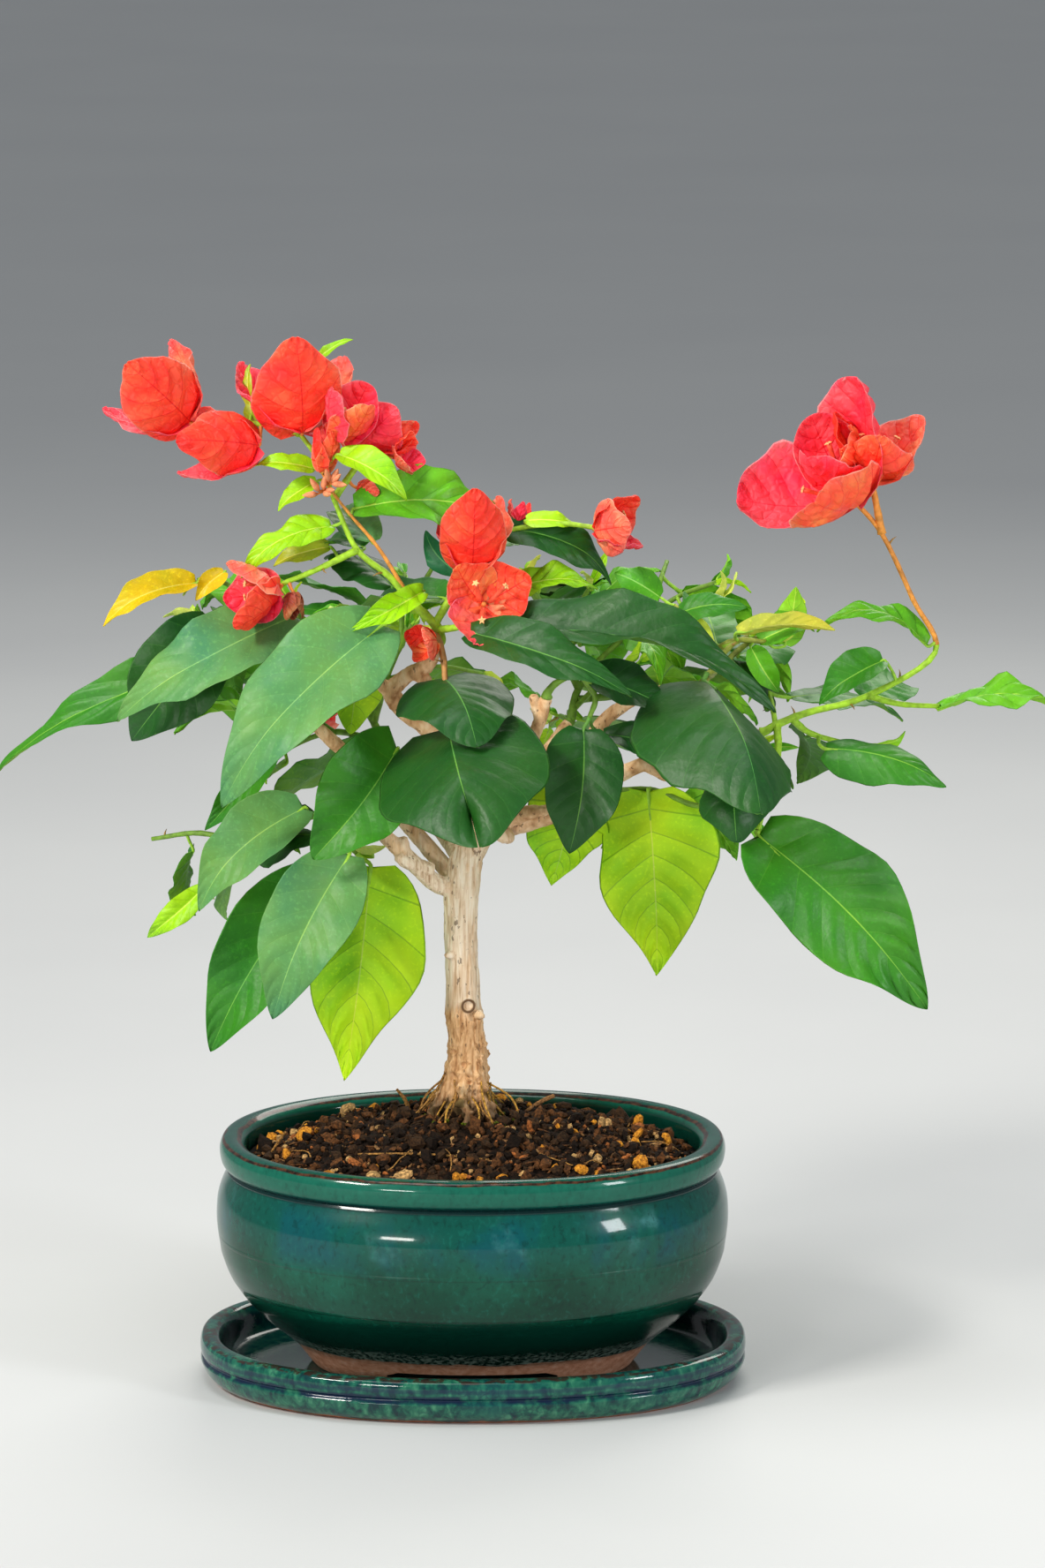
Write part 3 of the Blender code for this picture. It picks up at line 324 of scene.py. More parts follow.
# Leaf tones: upper face, under face and midrib, as 0 to 255 screen colours.
LEAF_TONES = {
    "dark": ((26, 80, 22), (82, 134, 52), (88, 144, 58)),
    "mid": ((52, 126, 26), (108, 162, 48), (114, 172, 60)),
    "glaucous": ((88, 142, 80), (128, 172, 92), (126, 176, 96)),
    "fresh": ((92, 172, 26), (126, 194, 46), (164, 212, 84)),
    "lime": ((150, 208, 16), (178, 226, 34), (196, 226, 80)),
    "yellow": ((222, 186, 12), (224, 196, 40), (236, 210, 76)),
    "olive": ((160, 176, 36), (176, 182, 66), (196, 200, 92)),
    "teal": ((26, 104, 58), (78, 140, 82), (88, 150, 86)),
    "young": ((190, 214, 66), (204, 220, 104), (214, 224, 128)),
}
YOUNG_TONES = ("lime", "fresh")
GROWN_TONES = ("dark",) * 6 + ("mid",) * 7 + ("glaucous",) * 2 + ("fresh",) * 4 + ("lime",) * 3
# Bract tones: papery face, veins and rim.
BRACT_TONES = {
    "coral": ((255, 62, 42), (224, 26, 24), (255, 88, 68)),
    "pink": ((255, 62, 78), (232, 26, 50), (255, 98, 106)),
    "orange": ((255, 98, 58), (236, 46, 30), (255, 120, 88)),
    "light": ((255, 108, 84), (242, 54, 44), (255, 134, 112)),
    "dry": ((164, 88, 50), (120, 62, 36), (182, 106, 66)),
}
STEM_TONES = {
    "stem_lime": (160, 206, 48), "stem_green": (112, 152, 48), "stem_olive": (146, 156, 56),
    "stem_tan": (190, 138, 78), "stem_orange": (226, 150, 62), "petiole": (156, 206, 60),
    "petiole_dark": (96, 152, 56), "flower_stalk": (222, 132, 62), "thorn": (160, 124, 60),
    "bud": (236, 150, 108), "flower_tube": (240, 92, 64), "flower_star": (252, 196, 132),
}
SOIL_TONES = {
    "peat_dark": (30, 20, 13), "peat_brown": (60, 41, 25), "peat_red": (98, 62, 34),
    "granule_ochre": (222, 142, 44), "granule_rust": (166, 98, 50), "granule_tan": (190, 150, 96),
    "chip": (146, 106, 66), "rootlet": (170, 124, 66), "root": (196, 148, 66), "moss": (92, 104, 22),
}


def linear(colour):
    """Screen colour, 0 to 255, as the linear colour that a shader takes."""
    def one(value):
        value /= 255
        return value / 12.92 if value <= 0.04045 else ((value + 0.055) / 1.055) ** 2.4
    return (*(one(value) for value in colour), 1.0)


def shade(colour, factor):
    return tuple(min(255, value * factor) for value in colour)


class Recipe:
    """A material under construction: a Principled shader, the nodes that feed it and its colour so far."""

    def __init__(self, name, constants):
        self.material = bpy.data.materials.new(name)
        self.material.use_nodes = True
        self.tree = self.material.node_tree
        self.shader = self.tree.nodes["Principled BSDF"]
        for socket, value in constants.items():
            self.shader.inputs[socket].default_value = value
        self.place = self.node("TexCoord").outputs["Object"]
        self.body = None

    def node(self, kind, inputs=None, **settings):
        made = self.tree.nodes.new("ShaderNode" + kind)
        for key, value in settings.items():
            setattr(made, key, value)
        for key, value in (inputs or {}).items():
            self.feed(made.inputs[key], value)
        return made

    def feed(self, socket, value):
        if isinstance(value, bpy.types.NodeSocket):
            self.tree.links.new(value, socket)
        else:
            socket.default_value = value

    def vector(self, operation, a, b):
        return self.node("VectorMath", {0: a, 1: b}, operation=operation).outputs[0]

    def noise(self, scale, detail=3.0, stretch=(1, 1, 1), distortion=0.0):
        """Cloudy pattern; its patches are about 1 / scale of a metre wide."""
        inputs = {"Vector": self.vector("MULTIPLY", self.place, stretch), "Scale": scale, "Detail": detail,
                  "Distortion": distortion}
        return self.node("TexNoise", inputs).outputs["Fac"]

    def cracks(self, scale):
        """0 along the borders of a net of cells, rising inside them."""
        wobble = self.node("TexNoise", {"Vector": self.place, "Scale": scale * 1.7, "Detail": 1.0})
        drift = self.node("VectorMath", {0: wobble.outputs["Color"], "Scale": 0.5 / scale},
                          operation="SCALE").outputs[0]
        inputs = {"Vector": self.vector("ADD", self.place, drift), "Scale": scale}
        return self.node("TexVoronoi", inputs, feature="DISTANCE_TO_EDGE").outputs["Distance"]

    def axis(self, letter):
        return self.node("SeparateXYZ", {0: self.place}).outputs[letter]

    def distance(self, centre, stretch):
        """How far a place is from the centre, with its axes stretched first."""
        off = self.vector("MULTIPLY", self.vector("SUBTRACT", self.place, centre), stretch)
        return self.node("VectorMath", {0: off}, operation="LENGTH").outputs["Value"]

    def math(self, operation, a, b=0.0):
        return self.node("Math", {0: a, 1: b}, operation=operation).outputs[0]

    def both(self, a, b):
        return self.math("MULTIPLY", a, b)

    def wander(self, value, scale, detail, reach):
        """The value, carried up and down over the reach by a cloudy pattern."""
        cloud = self.math("SUBTRACT", self.noise(scale, detail), 0.5)
        return self.math("ADD", value, self.both(cloud, reach))

    def rise(self, value, low, high):
        """0 below low, 1 above high; the other way round where low is the larger."""
        inputs = {"Value": value, "From Min": low, "From Max": high}
        return self.node("MapRange", inputs, interpolation_type="SMOOTHSTEP").outputs["Result"]

    def band(self, value, middle, half, soft):
        """1 within half of the middle, falling to 0 over the soft edge."""
        off = self.math("ABSOLUTE", self.math("SUBTRACT", value, middle))
        return self.rise(off, half + soft, half)

    def ramp(self, factor, stops):
        made = self.node("ValToRGB", {0: factor})
        elements = made.color_ramp.elements
        while len(elements) < len(stops):
            elements.new(0.5)
        for element, (place, colour) in zip(elements, stops):
            element.position = place
            element.color = linear(colour)
        return made.outputs["Color"]

    def paint(self, mask, colour, share=None):
        """Lays a colour over the body, as dense as the mask and, where given, its share."""
        mask = mask if share is None else self.both(mask, share)
        colour = colour if isinstance(colour, bpy.types.NodeSocket) else linear(colour)
        self.body = self.node("Mix", {0: mask, 6: self.body, 7: colour}, data_type="RGBA").outputs[2]

    def blend(self, factor, a, b):
        return self.node("Mix", {0: factor, 2: a, 3: b}, data_type="FLOAT").outputs[0]

    def bump(self, height, distance, strength=1.0, after=None):
        inputs = {"Height": height, "Distance": distance, "Strength": strength}
        if after:
            inputs["Normal"] = after
        return self.node("Bump", inputs).outputs["Normal"]

    def finish(self, roughness, normal):
        self.feed(self.shader.inputs["Base Color"], self.body)
        self.feed(self.shader.inputs["Roughness"], roughness)
        self.feed(self.shader.inputs["Normal"], normal)
        return self.material


# Levels on the pot and the tray, in metres above the ground.
LIP_LINE_Z, POT_INSIDE_SHADE_Z, COLLAR_Z, NECK_Z = 0.0871, 0.0868, 0.0830, 0.0772
PALE_CLOUD_Z, BLUE_CLOUD_Z = 0.0670, 0.0655
RIDGE_LEVELS = (0.0535, 0.0375)
CRUST_Z, GLAZE_END_Z = 0.0170, 0.0158
TRAY_GROOVE_Z, TRAY_SEAM_Z, TRAY_INSIDE_SHADE_Z = 0.0098, 0.0128, 0.0142
TRAY_LIP_Z, TRAY_GLAZE_END_Z = 0.0162, 0.0012
POT_ASPECT, TRAY_ASPECT = 1.24, 1.39        # length over depth of the two openings


def pot_glaze():
    """Deep green glaze with blue clouds below the collar, a brown line on the lip, a bare clay foot and
    painted shade inside the rim.
    """
    r = Recipe("pot_glaze", {"Specular IOR Level": 0.08, "Coat Weight": 0.45, "Coat Roughness": 0.07})
    z = r.axis("Z")
    drift = r.noise(34, 6, (1, 1, 0.6), 0.8)
    fine = r.noise(520, 5, (1, 1, 0.7), 0.5)
    r.body = r.ramp(r.noise(30, 5), [(0.30, (1, 48, 34)), (0.50, (3, 64, 47)), (0.72, (8, 82, 64))])
    r.paint(r.rise(z, 0.054, 0.020), (1, 36, 24), 0.85)
    r.paint(r.rise(z, 0.052, 0.066), (4, 78, 70), 0.6)
    r.paint(r.both(r.band(z, BLUE_CLOUD_Z, 0.0040, 0.0110), r.rise(drift, 0.44, 0.62)), (2, 72, 80), 0.80)
    pale = r.both(r.band(z, PALE_CLOUD_Z, 0.0030, 0.0080), r.rise(r.noise(40, 6), 0.55, 0.68))
    r.paint(pale, (84, 148, 150), 0.55)
    r.paint(r.rise(fine, 0.54, 0.72), (20, 112, 96), 0.22)
    r.paint(r.rise(fine, 0.46, 0.32), (0, 34, 30), 0.40)
    r.paint(r.band(z, NECK_Z, 0.0007, 0.0014), (2, 18, 26), 0.8)
    r.paint(r.band(z, COLLAR_Z, 0.0030, 0.0020), (24, 104, 82), r.blend(fine, 0.2, 0.8))
    # Painted shade: the wall inside the opening, below the lip, is darkened as if the rim shaded it.
    opening = r.rise(r.distance((0, 0, 0), (1.0, POT_ASPECT, 0.0)), 0.0850, 0.0825)
    r.paint(r.both(opening, r.rise(z, POT_INSIDE_SHADE_Z, 0.0850)), (2, 36, 28), 0.75)
    line = r.band(r.wander(z, 90, 4, 0.0014), LIP_LINE_Z, 0.00022, 0.00035)
    r.paint(line, r.ramp(r.noise(500), [(0.4, (26, 14, 10)), (0.65, (84, 50, 32))]))
    edge = r.wander(z, 60, 5, 0.0050)
    crust = r.both(r.band(edge, CRUST_Z, 0.0012, 0.0036), r.rise(r.noise(620, 10), 0.40, 0.66))
    r.paint(crust, (146, 168, 156), 0.74)
    bare = r.rise(edge, GLAZE_END_Z, GLAZE_END_Z - 0.0007)
    clay = [(0.3, (190, 128, 98)), (0.55, (216, 158, 128)), (0.8, (228, 186, 162))]
    r.paint(bare, r.ramp(r.noise(420, 5), clay))
    rough = r.blend(bare, r.blend(crust, r.blend(line, 0.26, 0.3), 0.5), 0.85)
    ridges = r.math("ADD", *(r.band(z, level, 0.0002, 0.0007) for level in RIDGE_LEVELS))
    skin = r.bump(r.noise(900, 2), 0.00003, 0.5, r.bump(ridges, 0.00022, 1.0))
    return r.finish(rough, r.bump(r.both(r.noise(1600, 3), bare), 0.0003, 0.6, skin))


def tray_glaze():
    """Jade glaze that breaks into a navy net, with a navy groove, a brown line on the edge and painted shade
    inside.
    """
    r = Recipe("tray_glaze", {"Specular IOR Level": 0.40})
    z = r.axis("Z")
    level = r.wander(z, 90, 4, 0.0026)
    cloud = r.noise(330, 6, (1, 1, 0.6), 0.4)
    r.body = r.ramp(cloud, [(0.34, (4, 46, 50)), (0.46, (14, 80, 66)), (0.58, (36, 104, 80)),
                            (0.74, (70, 134, 102))])
    r.paint(r.rise(r.noise(26, 3), 0.46, 0.66), (8, 78, 78), 0.45)
    r.paint(r.both(r.rise(r.cracks(330), 0.14, 0.02), r.rise(r.noise(70, 3), 0.42, 0.58)), (6, 44, 56), 0.5)
    groove = r.both(r.band(level, TRAY_GROOVE_Z, 0.0007, 0.0012), r.rise(r.noise(120, 4), 0.36, 0.50))
    r.paint(groove, (4, 24, 54), 0.95)
    r.paint(r.band(level, TRAY_SEAM_Z, 0.0003, 0.0008), (6, 32, 60), 0.55)
    lip = r.both(r.band(level, TRAY_LIP_Z, 0.00022, 0.0003), r.rise(r.noise(300, 3), 0.40, 0.52))
    r.paint(lip, (50, 30, 24), 0.85)
    # Painted shade: the tray's inside, under the pot, is darkened as if the pot shaded it.
    opening = r.rise(r.distance((0, 0, 0), (1.0, TRAY_ASPECT, 0.0)), 0.0945, 0.0915)
    r.paint(r.both(r.rise(z, TRAY_INSIDE_SHADE_Z, 0.0120), opening), (2, 30, 30), 0.8)
    bare = r.rise(level, TRAY_GLAZE_END_Z, TRAY_GLAZE_END_Z - 0.0004)
    r.paint(bare, r.ramp(r.noise(420, 5), [(0.3, (140, 84, 60)), (0.7, (182, 118, 88))]))
    rough = r.blend(bare, r.blend(r.rise(cloud, 0.3, 0.8), 0.05, 0.12), 0.85)
    return r.finish(rough, r.bump(r.noise(800, 3), 0.00005, 0.6))


def leaf_material(name, colour, roughness, shine):
    """Broad drifts from a cooler to a yellower tone and a fine mottle, on an uneven skin."""
    r = Recipe(name, {"Specular IOR Level": shine})
    red, green, blue = colour
    cool = (red * 0.80, green * 0.93, blue * 1.10)
    warm = (min(255, red * 1.12 + 4), min(255, green * 1.06), blue * 0.90)
    r.body = r.ramp(r.noise(34, 3), [(0.32, cool), (0.50, colour), (0.70, warm)])
    r.paint(r.rise(r.noise(800, 4), 0.52, 0.72), shade(colour, 1.24), 0.40)
    rough = r.blend(r.noise(260, 3), roughness - 0.06, roughness + 0.10)
    waves = r.bump(r.noise(190, 2), 0.0009, 0.5)
    return r.finish(rough, r.bump(r.noise(1300, 2), 0.00010, 0.5, waves))


def bract_material(name, colour, veins):
    """Papery tissue that glows: soft flushes of tone, whose paler patches are partly painted sheen, and a
    faint net of fine veins.
    """
    r = Recipe(name, {"Specular IOR Level": 0.22, "Subsurface Weight": 0.3,
                      "Subsurface Radius": (0.004, 0.001, 0.001), "Subsurface Scale": 1.0})
    flush_and_sheen = r.noise(60, 3)
    red, green, blue = colour
    # Paler end of the flush: partly the bract's own tone, partly painted sheen.
    r.body = r.ramp(flush_and_sheen, [(0.32, (red, green * 0.72, blue * 1.05)), (0.50, colour),
                            (0.70, (red, min(255, green * 1.5), min(255, blue * 1.35)))])
    net = r.cracks(230)
    r.paint(r.rise(net, 0.10, 0.01), veins, 0.30)
    return r.finish(r.blend(flush_and_sheen, 0.42, 0.56), r.bump(r.rise(net, 0.0, 0.25), 0.0006, 0.5))


def stem_material(name, colour):
    r = Recipe(name, {"Specular IOR Level": 0.35})
    streak = r.noise(500, 4)
    r.body = r.ramp(streak, [(0.32, shade(colour, 0.84)), (0.55, colour), (0.78, shade(colour, 1.12))])
    return r.finish(r.blend(streak, 0.42, 0.66), r.bump(streak, 0.0002, 0.4))


# Heights on the bark, in metres: the collar, where the boughs begin, the foot and the dark band just above
# the soil.
COLLAR_TOP_Z, COLLAR_END_Z = 0.1350, 0.1285
LIMBS_FROM_Z, LIMBS_Z = 0.186, 0.204
FOOT_FROM_Z, FOOT_DEEP_Z = 0.1080, 0.0990
FOOT_DARK_FROM_Z, FOOT_DARK_Z = 0.1050, 0.0950


def bark_material():
    """Pale striped bark, warm tan and scaly below a wrinkled collar and on the boughs."""
    r = Recipe("bark", {"Specular IOR Level": 0.25})
    z = r.axis("Z")
    edge = r.wander(z, 70, 4, 0.012)
    streak = r.noise(900, 6, (1, 1, 0.07), 0.3)
    fibre = r.noise(640, 6, (1, 1, 0.22), 0.7)
    warm = r.ramp(fibre, [(0.30, (154, 104, 62)), (0.43, (206, 156, 106)), (0.58, (236, 190, 140)),
                          (0.80, (248, 218, 178))])
    r.body = r.ramp(streak, [(0.28, (174, 138, 104)), (0.42, (222, 194, 162)), (0.56, (242, 222, 194)),
                             (0.78, (252, 240, 222))])
    r.paint(r.rise(r.noise(150, 4, (1, 1, 0.16)), 0.46, 0.66), (212, 172, 130), 0.55)
    r.paint(r.rise(edge, COLLAR_TOP_Z, COLLAR_END_Z), warm)
    high = r.rise(edge, LIMBS_FROM_Z, LIMBS_Z)
    limb = [(0.30, (166, 114, 72)), (0.45, (214, 166, 120)), (0.58, (236, 196, 152)), (0.78, (248, 224, 190))]
    r.paint(high, r.ramp(r.noise(300, 6, (1, 1, 0.6), 0.4), limb))
    r.paint(r.both(r.rise(r.noise(75, 3), 0.60, 0.68), r.rise(z, 0.150, 0.185)), warm, 0.55)
    moss = r.both(r.rise(edge, FOOT_FROM_Z, FOOT_DEEP_Z), r.rise(r.noise(150, 4), 0.48, 0.60))
    r.paint(moss, (84, 78, 20), 0.80)
    # Darker just above the soil.
    r.paint(r.rise(edge, FOOT_DARK_FROM_Z, FOOT_DARK_Z), (58, 38, 22), 0.75)
    r.paint(r.rise(r.noise(620, 3, (1, 1, 0.5)), 0.37, 0.32), (96, 68, 46), 0.7)
    scar_x, scar_z, size = (value * MM for value in SCARS[0])
    ring = r.band(r.distance((scar_x, 0.0, scar_z), (1.0, 0.0, 1.0)), 1.05 * size, 0.0002, 0.0005)
    r.paint(r.both(ring, r.rise(r.axis("Y"), 0.007, 0.005)), (110, 80, 54))
    grain = r.bump(r.both(streak, r.math("SUBTRACT", 1.0, high)), 0.0006, 0.7)
    return r.finish(r.blend(streak, 0.66, 0.86), r.bump(fibre, 0.0007, 0.5, grain))


def crumb_material(name, colour):
    r = Recipe(name, {"Specular IOR Level": 0.15})
    grain = r.noise(1100, 5)
    tones = [(at, shade(colour, by)) for at, by in ((0.28, 0.42), (0.50, 0.9), (0.76, 1.3))]
    r.body = r.ramp(grain, tones)
    return r.finish(r.blend(grain, 0.75, 0.95), r.bump(grain, 0.0006, 0.8))


def peat_material():
    """Ground between the crumbs: almost black, with brown fibres."""
    r = Recipe("peat", {"Specular IOR Level": 0.15})
    grain = r.noise(420, 8, (1, 1, 1), 0.6)
    r.body = r.ramp(grain, [(0.34, (10, 7, 5)), (0.52, (32, 21, 14)), (0.66, (62, 40, 26)),
                            (0.84, (98, 68, 42))])
    return r.finish(r.blend(grain, 0.8, 0.95), r.bump(grain, 0.0020, 0.9))


def floor_material():
    r = Recipe("floor", {})
    grain = r.noise(3, 4)
    r.body = r.ramp(grain, [(0.2, (200, 202, 203)), (0.8, (207, 209, 209))])
    return r.finish(r.blend(grain, 0.55, 0.65), r.bump(r.noise(700, 2), 0.0002, 0.2))


def make_materials():
    made = {"pot_glaze": pot_glaze(), "tray_glaze": tray_glaze(), "bark": bark_material(),
            "peat": peat_material(), "floor": floor_material()}
    for tone, (upper, under, rib) in LEAF_TONES.items():
        shine = 0.22 if tone == "glaucous" else 0.32
        vein = tuple(0.80 * a + 0.20 * b for a, b in zip(upper, rib))
        if tone in YOUNG_TONES:
            vein = shade(upper, 0.90)
        for kind, colour, rough, gloss in (("_upper", upper, 0.42, shine), ("_under", under, 0.60, 0.20),
                                           ("_vein", vein, 0.46, shine), ("_rib", rib, 0.52, 0.25)):
            made[tone + kind] = leaf_material("leaf_" + tone + kind, colour, rough, gloss)
    for tone, (face, vein, rim) in BRACT_TONES.items():
        for kind, colour, net in (("", face, vein), ("_vein", vein, vein), ("_rim", rim, face)):
            made[tone + "_bract" + kind] = bract_material("bract_" + tone + kind, colour, net)
    for name, colour in STEM_TONES.items():
        made[name] = stem_material(name, colour)
    for name, colour in SOIL_TONES.items():
        made[name] = crumb_material(name, colour)
    return made
# ---------------------------------------------------------------- mesh helpers

class Heap:
    """Many small closed pieces that end up in one mesh."""

    def __init__(self):
        self.verts, self.faces, self.kinds, self.names, self.count = [], [], [], [], 0

    def add(self, verts, groups):
        """Points in millimetres, and (rows of corner numbers, material name) for each kind of face."""
        for corners, name in groups:
            if name not in self.names:
                self.names.append(name)
            rows = np.asarray(corners) + self.count
            self.faces.extend(rows.tolist())
            self.kinds.extend([self.names.index(name)] * len(rows))
        self.verts.append(np.asarray(verts, dtype=float))
        self.count += len(verts)

    def add_parts(self, verts, parts, name):
        self.add(verts, [(rows, name) for rows in parts])

    def build(self, name, materials, smooth=True):
        mesh = bpy.data.meshes.new(name)
        mesh.from_pydata(np.concatenate(self.verts) * MM, [], self.faces)
        for kind in self.names:
            mesh.materials.append(materials[kind])
        mesh.polygons.foreach_set("material_index", self.kinds)
        if smooth:
            mesh.shade_smooth()
        mesh.update()
        item = bpy.data.objects.new(name, mesh)
        bpy.context.scene.collection.objects.link(item)
        return item


def placed(item, slot, *nodes):
    """The piece rides with the plant and stands for these nodes, which are hidden; the slot is not used."""
    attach(item, "root")
    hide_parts(*nodes)


def apply_modifiers(item):
    bpy.context.view_layer.update()
    shape = bpy.data.meshes.new_from_object(item.evaluated_get(bpy.context.evaluated_depsgraph_get()))
    item.modifiers.clear()
    item.data = shape


def smooth(points, steps):
    """Catmull-Rom curve through rows of numbers."""
    rows = np.array(points, dtype=float)
    if steps < 2 or len(rows) < 3:
        share = np.linspace(0, 1, max(2, steps * (len(rows) - 1) + 1))
        at = share * (len(rows) - 1)
        return np.column_stack([np.interp(at, range(len(rows)), column) for column in rows.T])
    rows = np.vstack([2 * rows[0] - rows[1], rows, 2 * rows[-1] - rows[-2]])
    t = np.linspace(0, 1, steps, endpoint=False)[:, None]
    parts = [0.5 * (2 * b + (c - a) * t + (2 * a - 5 * b + 4 * c - d) * t ** 2
                    + (3 * b - a - 3 * c + d) * t ** 3)
             for a, b, c, d in zip(rows, rows[1:], rows[2:], rows[3:])]
    return np.vstack(parts + [rows[-2:-1]])


def ring_stack(rings):
    """Closed wall through rings of equal count, with flat ends: its points and its faces."""
    count = len(rings[0])
    grid = np.arange(len(rings) * count).reshape(len(rings), count)
    turned = np.roll(grid, -1, axis=1)
    quads = np.stack([grid[:-1], turned[:-1], turned[1:], grid[1:]], axis=-1).reshape(-1, 4)
    return np.vstack(rings), (quads, np.array([grid[0][::-1], grid[-1]]))


def add_limb(heap, course, sides, name):
    """Round closed limb along rows of x, y, z, radius."""
    course = np.asarray(course, dtype=float)
    points, radii = course[:, :3], course[:, 3]
    angles = 2 * np.pi * np.arange(sides) / sides
    side, rings = None, []
    for i, point in enumerate(points):
        along = points[min(i + 1, len(points) - 1)] - points[max(i - 1, 0)]
        along = along / np.linalg.norm(along)
        if side is None:
            side = np.array(Vector(along).orthogonal())
        side = side - along * side.dot(along)
        side = side / np.linalg.norm(side)
        other = np.cross(along, side)
        rings.append(point + radii[i] * (np.outer(np.cos(angles), side) + np.outer(np.sin(angles), other)))
    heap.add_parts(*ring_stack(rings), name)


def wall(name, rings, kind, materials, smooth=True):
    """One closed piece through a stack of rings."""
    heap = Heap()
    heap.add_parts(*ring_stack(rings), kind)
    return heap.build(name, materials, smooth)


# ---------------------------------------------------------------- pot and tray

WALL_SIDES, PROFILE_STEPS = 240, 5
POT_UNEVEN, TRAY_UNEVEN = 0.25, 0.15
SHARP_FROM = math.radians(40)


def smooth_profile(profile):
    """Curve through the profile's points that keeps the marked turns sharp."""
    stretches, current = [], [profile[0]]
    for point in profile[1:]:
        current.append(point)
        if point[2]:
            stretches.append(current)
            current = [point]
    if len(current) > 1:
        stretches.append(current)
    rows = []
    for stretch in stretches:
        curve = smooth([point[:2] for point in stretch], PROFILE_STEPS if len(stretch) > 2 else 2)
        rows.extend(curve[:-1].tolist())
    rows.append(list(profile[-1][:2]))
    return rows


def oval_ring(half_x, half_y, z, power, count):
    """Rounded-box oval whose points lie evenly enough for a smooth wall."""
    angle = 2 * np.pi * np.arange(count) / count
    c, s = np.cos(angle), np.sin(angle)
    size = (np.abs(c) ** power + np.abs(s) ** power) ** (-1 / power)
    return np.column_stack([half_x * c * size, half_y * s * size, np.full(count, z)])


def pot_ring(half, z, count):
    """Ring of the pot's oval, which grows longer for its depth towards the foot."""
    low = max(0.0, 1 - z / BELLY_FROM_Z)
    return oval_ring(half, half - POT_OVAL - POT_OVAL_GROWTH * low ** 2, z, POT_POWER, count)


def thrown(ring, amount, seed):
    """Slight unevenness of a wall made by hand."""
    out = ring * (1, 1, 0)
    out = out / np.linalg.norm(out, axis=1)[:, None]
    push = [amount * noise.noise(Vector(point) * 0.022 + Vector((seed, 0, 0))) for point in ring.tolist()]
    return ring + out * np.array(push)[:, None]


def ridged(half, z):
    """True on the belly's wall between the foot and the rim."""
    low, high = RIDGED_Z
    return low < z < high and half > 66 + (z - low) * 0.3 and (half > 75 or z < 30)


def make_pot(materials):
    rings = []
    for half, z in smooth_profile(POT_PROFILE):
        if ridged(half, z):
            rises = (rise * math.exp(-((z - at) / wide) ** 2) for at, rise, wide in THROWING_RIDGES)
            half += sum(rises) - RIDGE_ROOM
        ring = pot_ring(half, z, WALL_SIDES)
        rings.append(thrown(ring, POT_UNEVEN, 3.0) if z > RIDGED_Z[0] else ring)
    body = wall("pot_body", rings, "pot_glaze", materials)
    half, low, high = ARCH_HALF, FOOT_Z - 4, ARCH_TOP_Z
    arch = [(-half, low), (half, low), (half - 1.0, high - 1.6), (half - 5.0, high), (5.0 - half, high),
            (1.0 - half, high - 1.6)]
    rings = [np.array([(x, y, z) for x, z in arch]) for y in (60.0, -60.0)]
    cutter = wall("arch_cutter", rings, "pot_glaze", materials, smooth=False)
    cut = body.modifiers.new("arch", "BOOLEAN")
    cut.operation = "DIFFERENCE"
    cut.object = cutter
    apply_modifiers(body)
    bpy.data.objects.remove(cutter, do_unlink=True)
    body.data.set_sharp_from_angle(angle=SHARP_FROM)
    placed(body, "pot_glaze", "pot")


def make_tray(materials):
    rings = [thrown(oval_ring(half, half - TRAY_OVAL, z, TRAY_POWER, WALL_SIDES), TRAY_UNEVEN, 9.0)
             for half, z in smooth_profile(TRAY_PROFILE)]
    body = wall("drip_tray_body", rings, "tray_glaze", materials)
    body.data.set_sharp_from_angle(angle=SHARP_FROM)
    placed(body, "tray_glaze", "drip_tray")


# ---------------------------------------------------------------- soil

GROUND_SIDES, SCATTER_SIDES = 220, 720
SOIL_COLOURS = ("peat_dark", "peat_brown", "peat_brown", "peat_red")
# Grains on the ground: how many, smallest and largest size, materials, how much they gather towards the
# wall, and whether they are finely cut.
GRAIN_SORTS = (
    (2700, 1.1, 4.2, ("peat_dark", "peat_dark", "peat_brown", "peat_red"), 1.0, False),
    (250, 3.8, 7.6, SOIL_COLOURS, 1.0, False),
    (520, 1.3, 3.2, ("chip", "granule_rust", "peat_red", "granule_tan"), 1.2, False),
    (90, 2.8, 5.2, ("granule_ochre", "granule_rust", "granule_tan"), 1.6, True),
    (34, 5.0, 8.6, ("granule_ochre", "granule_ochre", "granule_tan"), 3.4, True),
)
CHIPS, ROOTLETS, ROOT_THREADS, MOSS_CRUMBS = 300, 16, 26, 170
# Twigs that stick out of the soil or lie on it: both ends with their radii, and the material.
LOOSE_TWIGS = (((-22.0, 12.0, 91.0, 0.7), (-27.0, 9.0, 102.0, 0.5), "rootlet"),
               ((18.0, 14.0, 92.0, 0.6), (29.0, 12.0, 99.0, 0.8), "chip"),
               ((-72.0, -8.0, 82.0, 0.4), (-66.0, -14.0, 92.0, 0.35), "rootlet"),
               ((-40.0, -30.0, 88.0, 0.35), (6.0, -36.0, 87.5, 0.3), "rootlet"))


def edge_share(x, y):
    """0 at the middle of the pot, 1 where the soil meets its wall."""
    along, deep = abs(x) / SOIL_EDGE_HALF, abs(y) / (SOIL_EDGE_HALF - POT_OVAL)
    return (along ** POT_POWER + deep ** POT_POWER) ** (1 / POT_POWER)


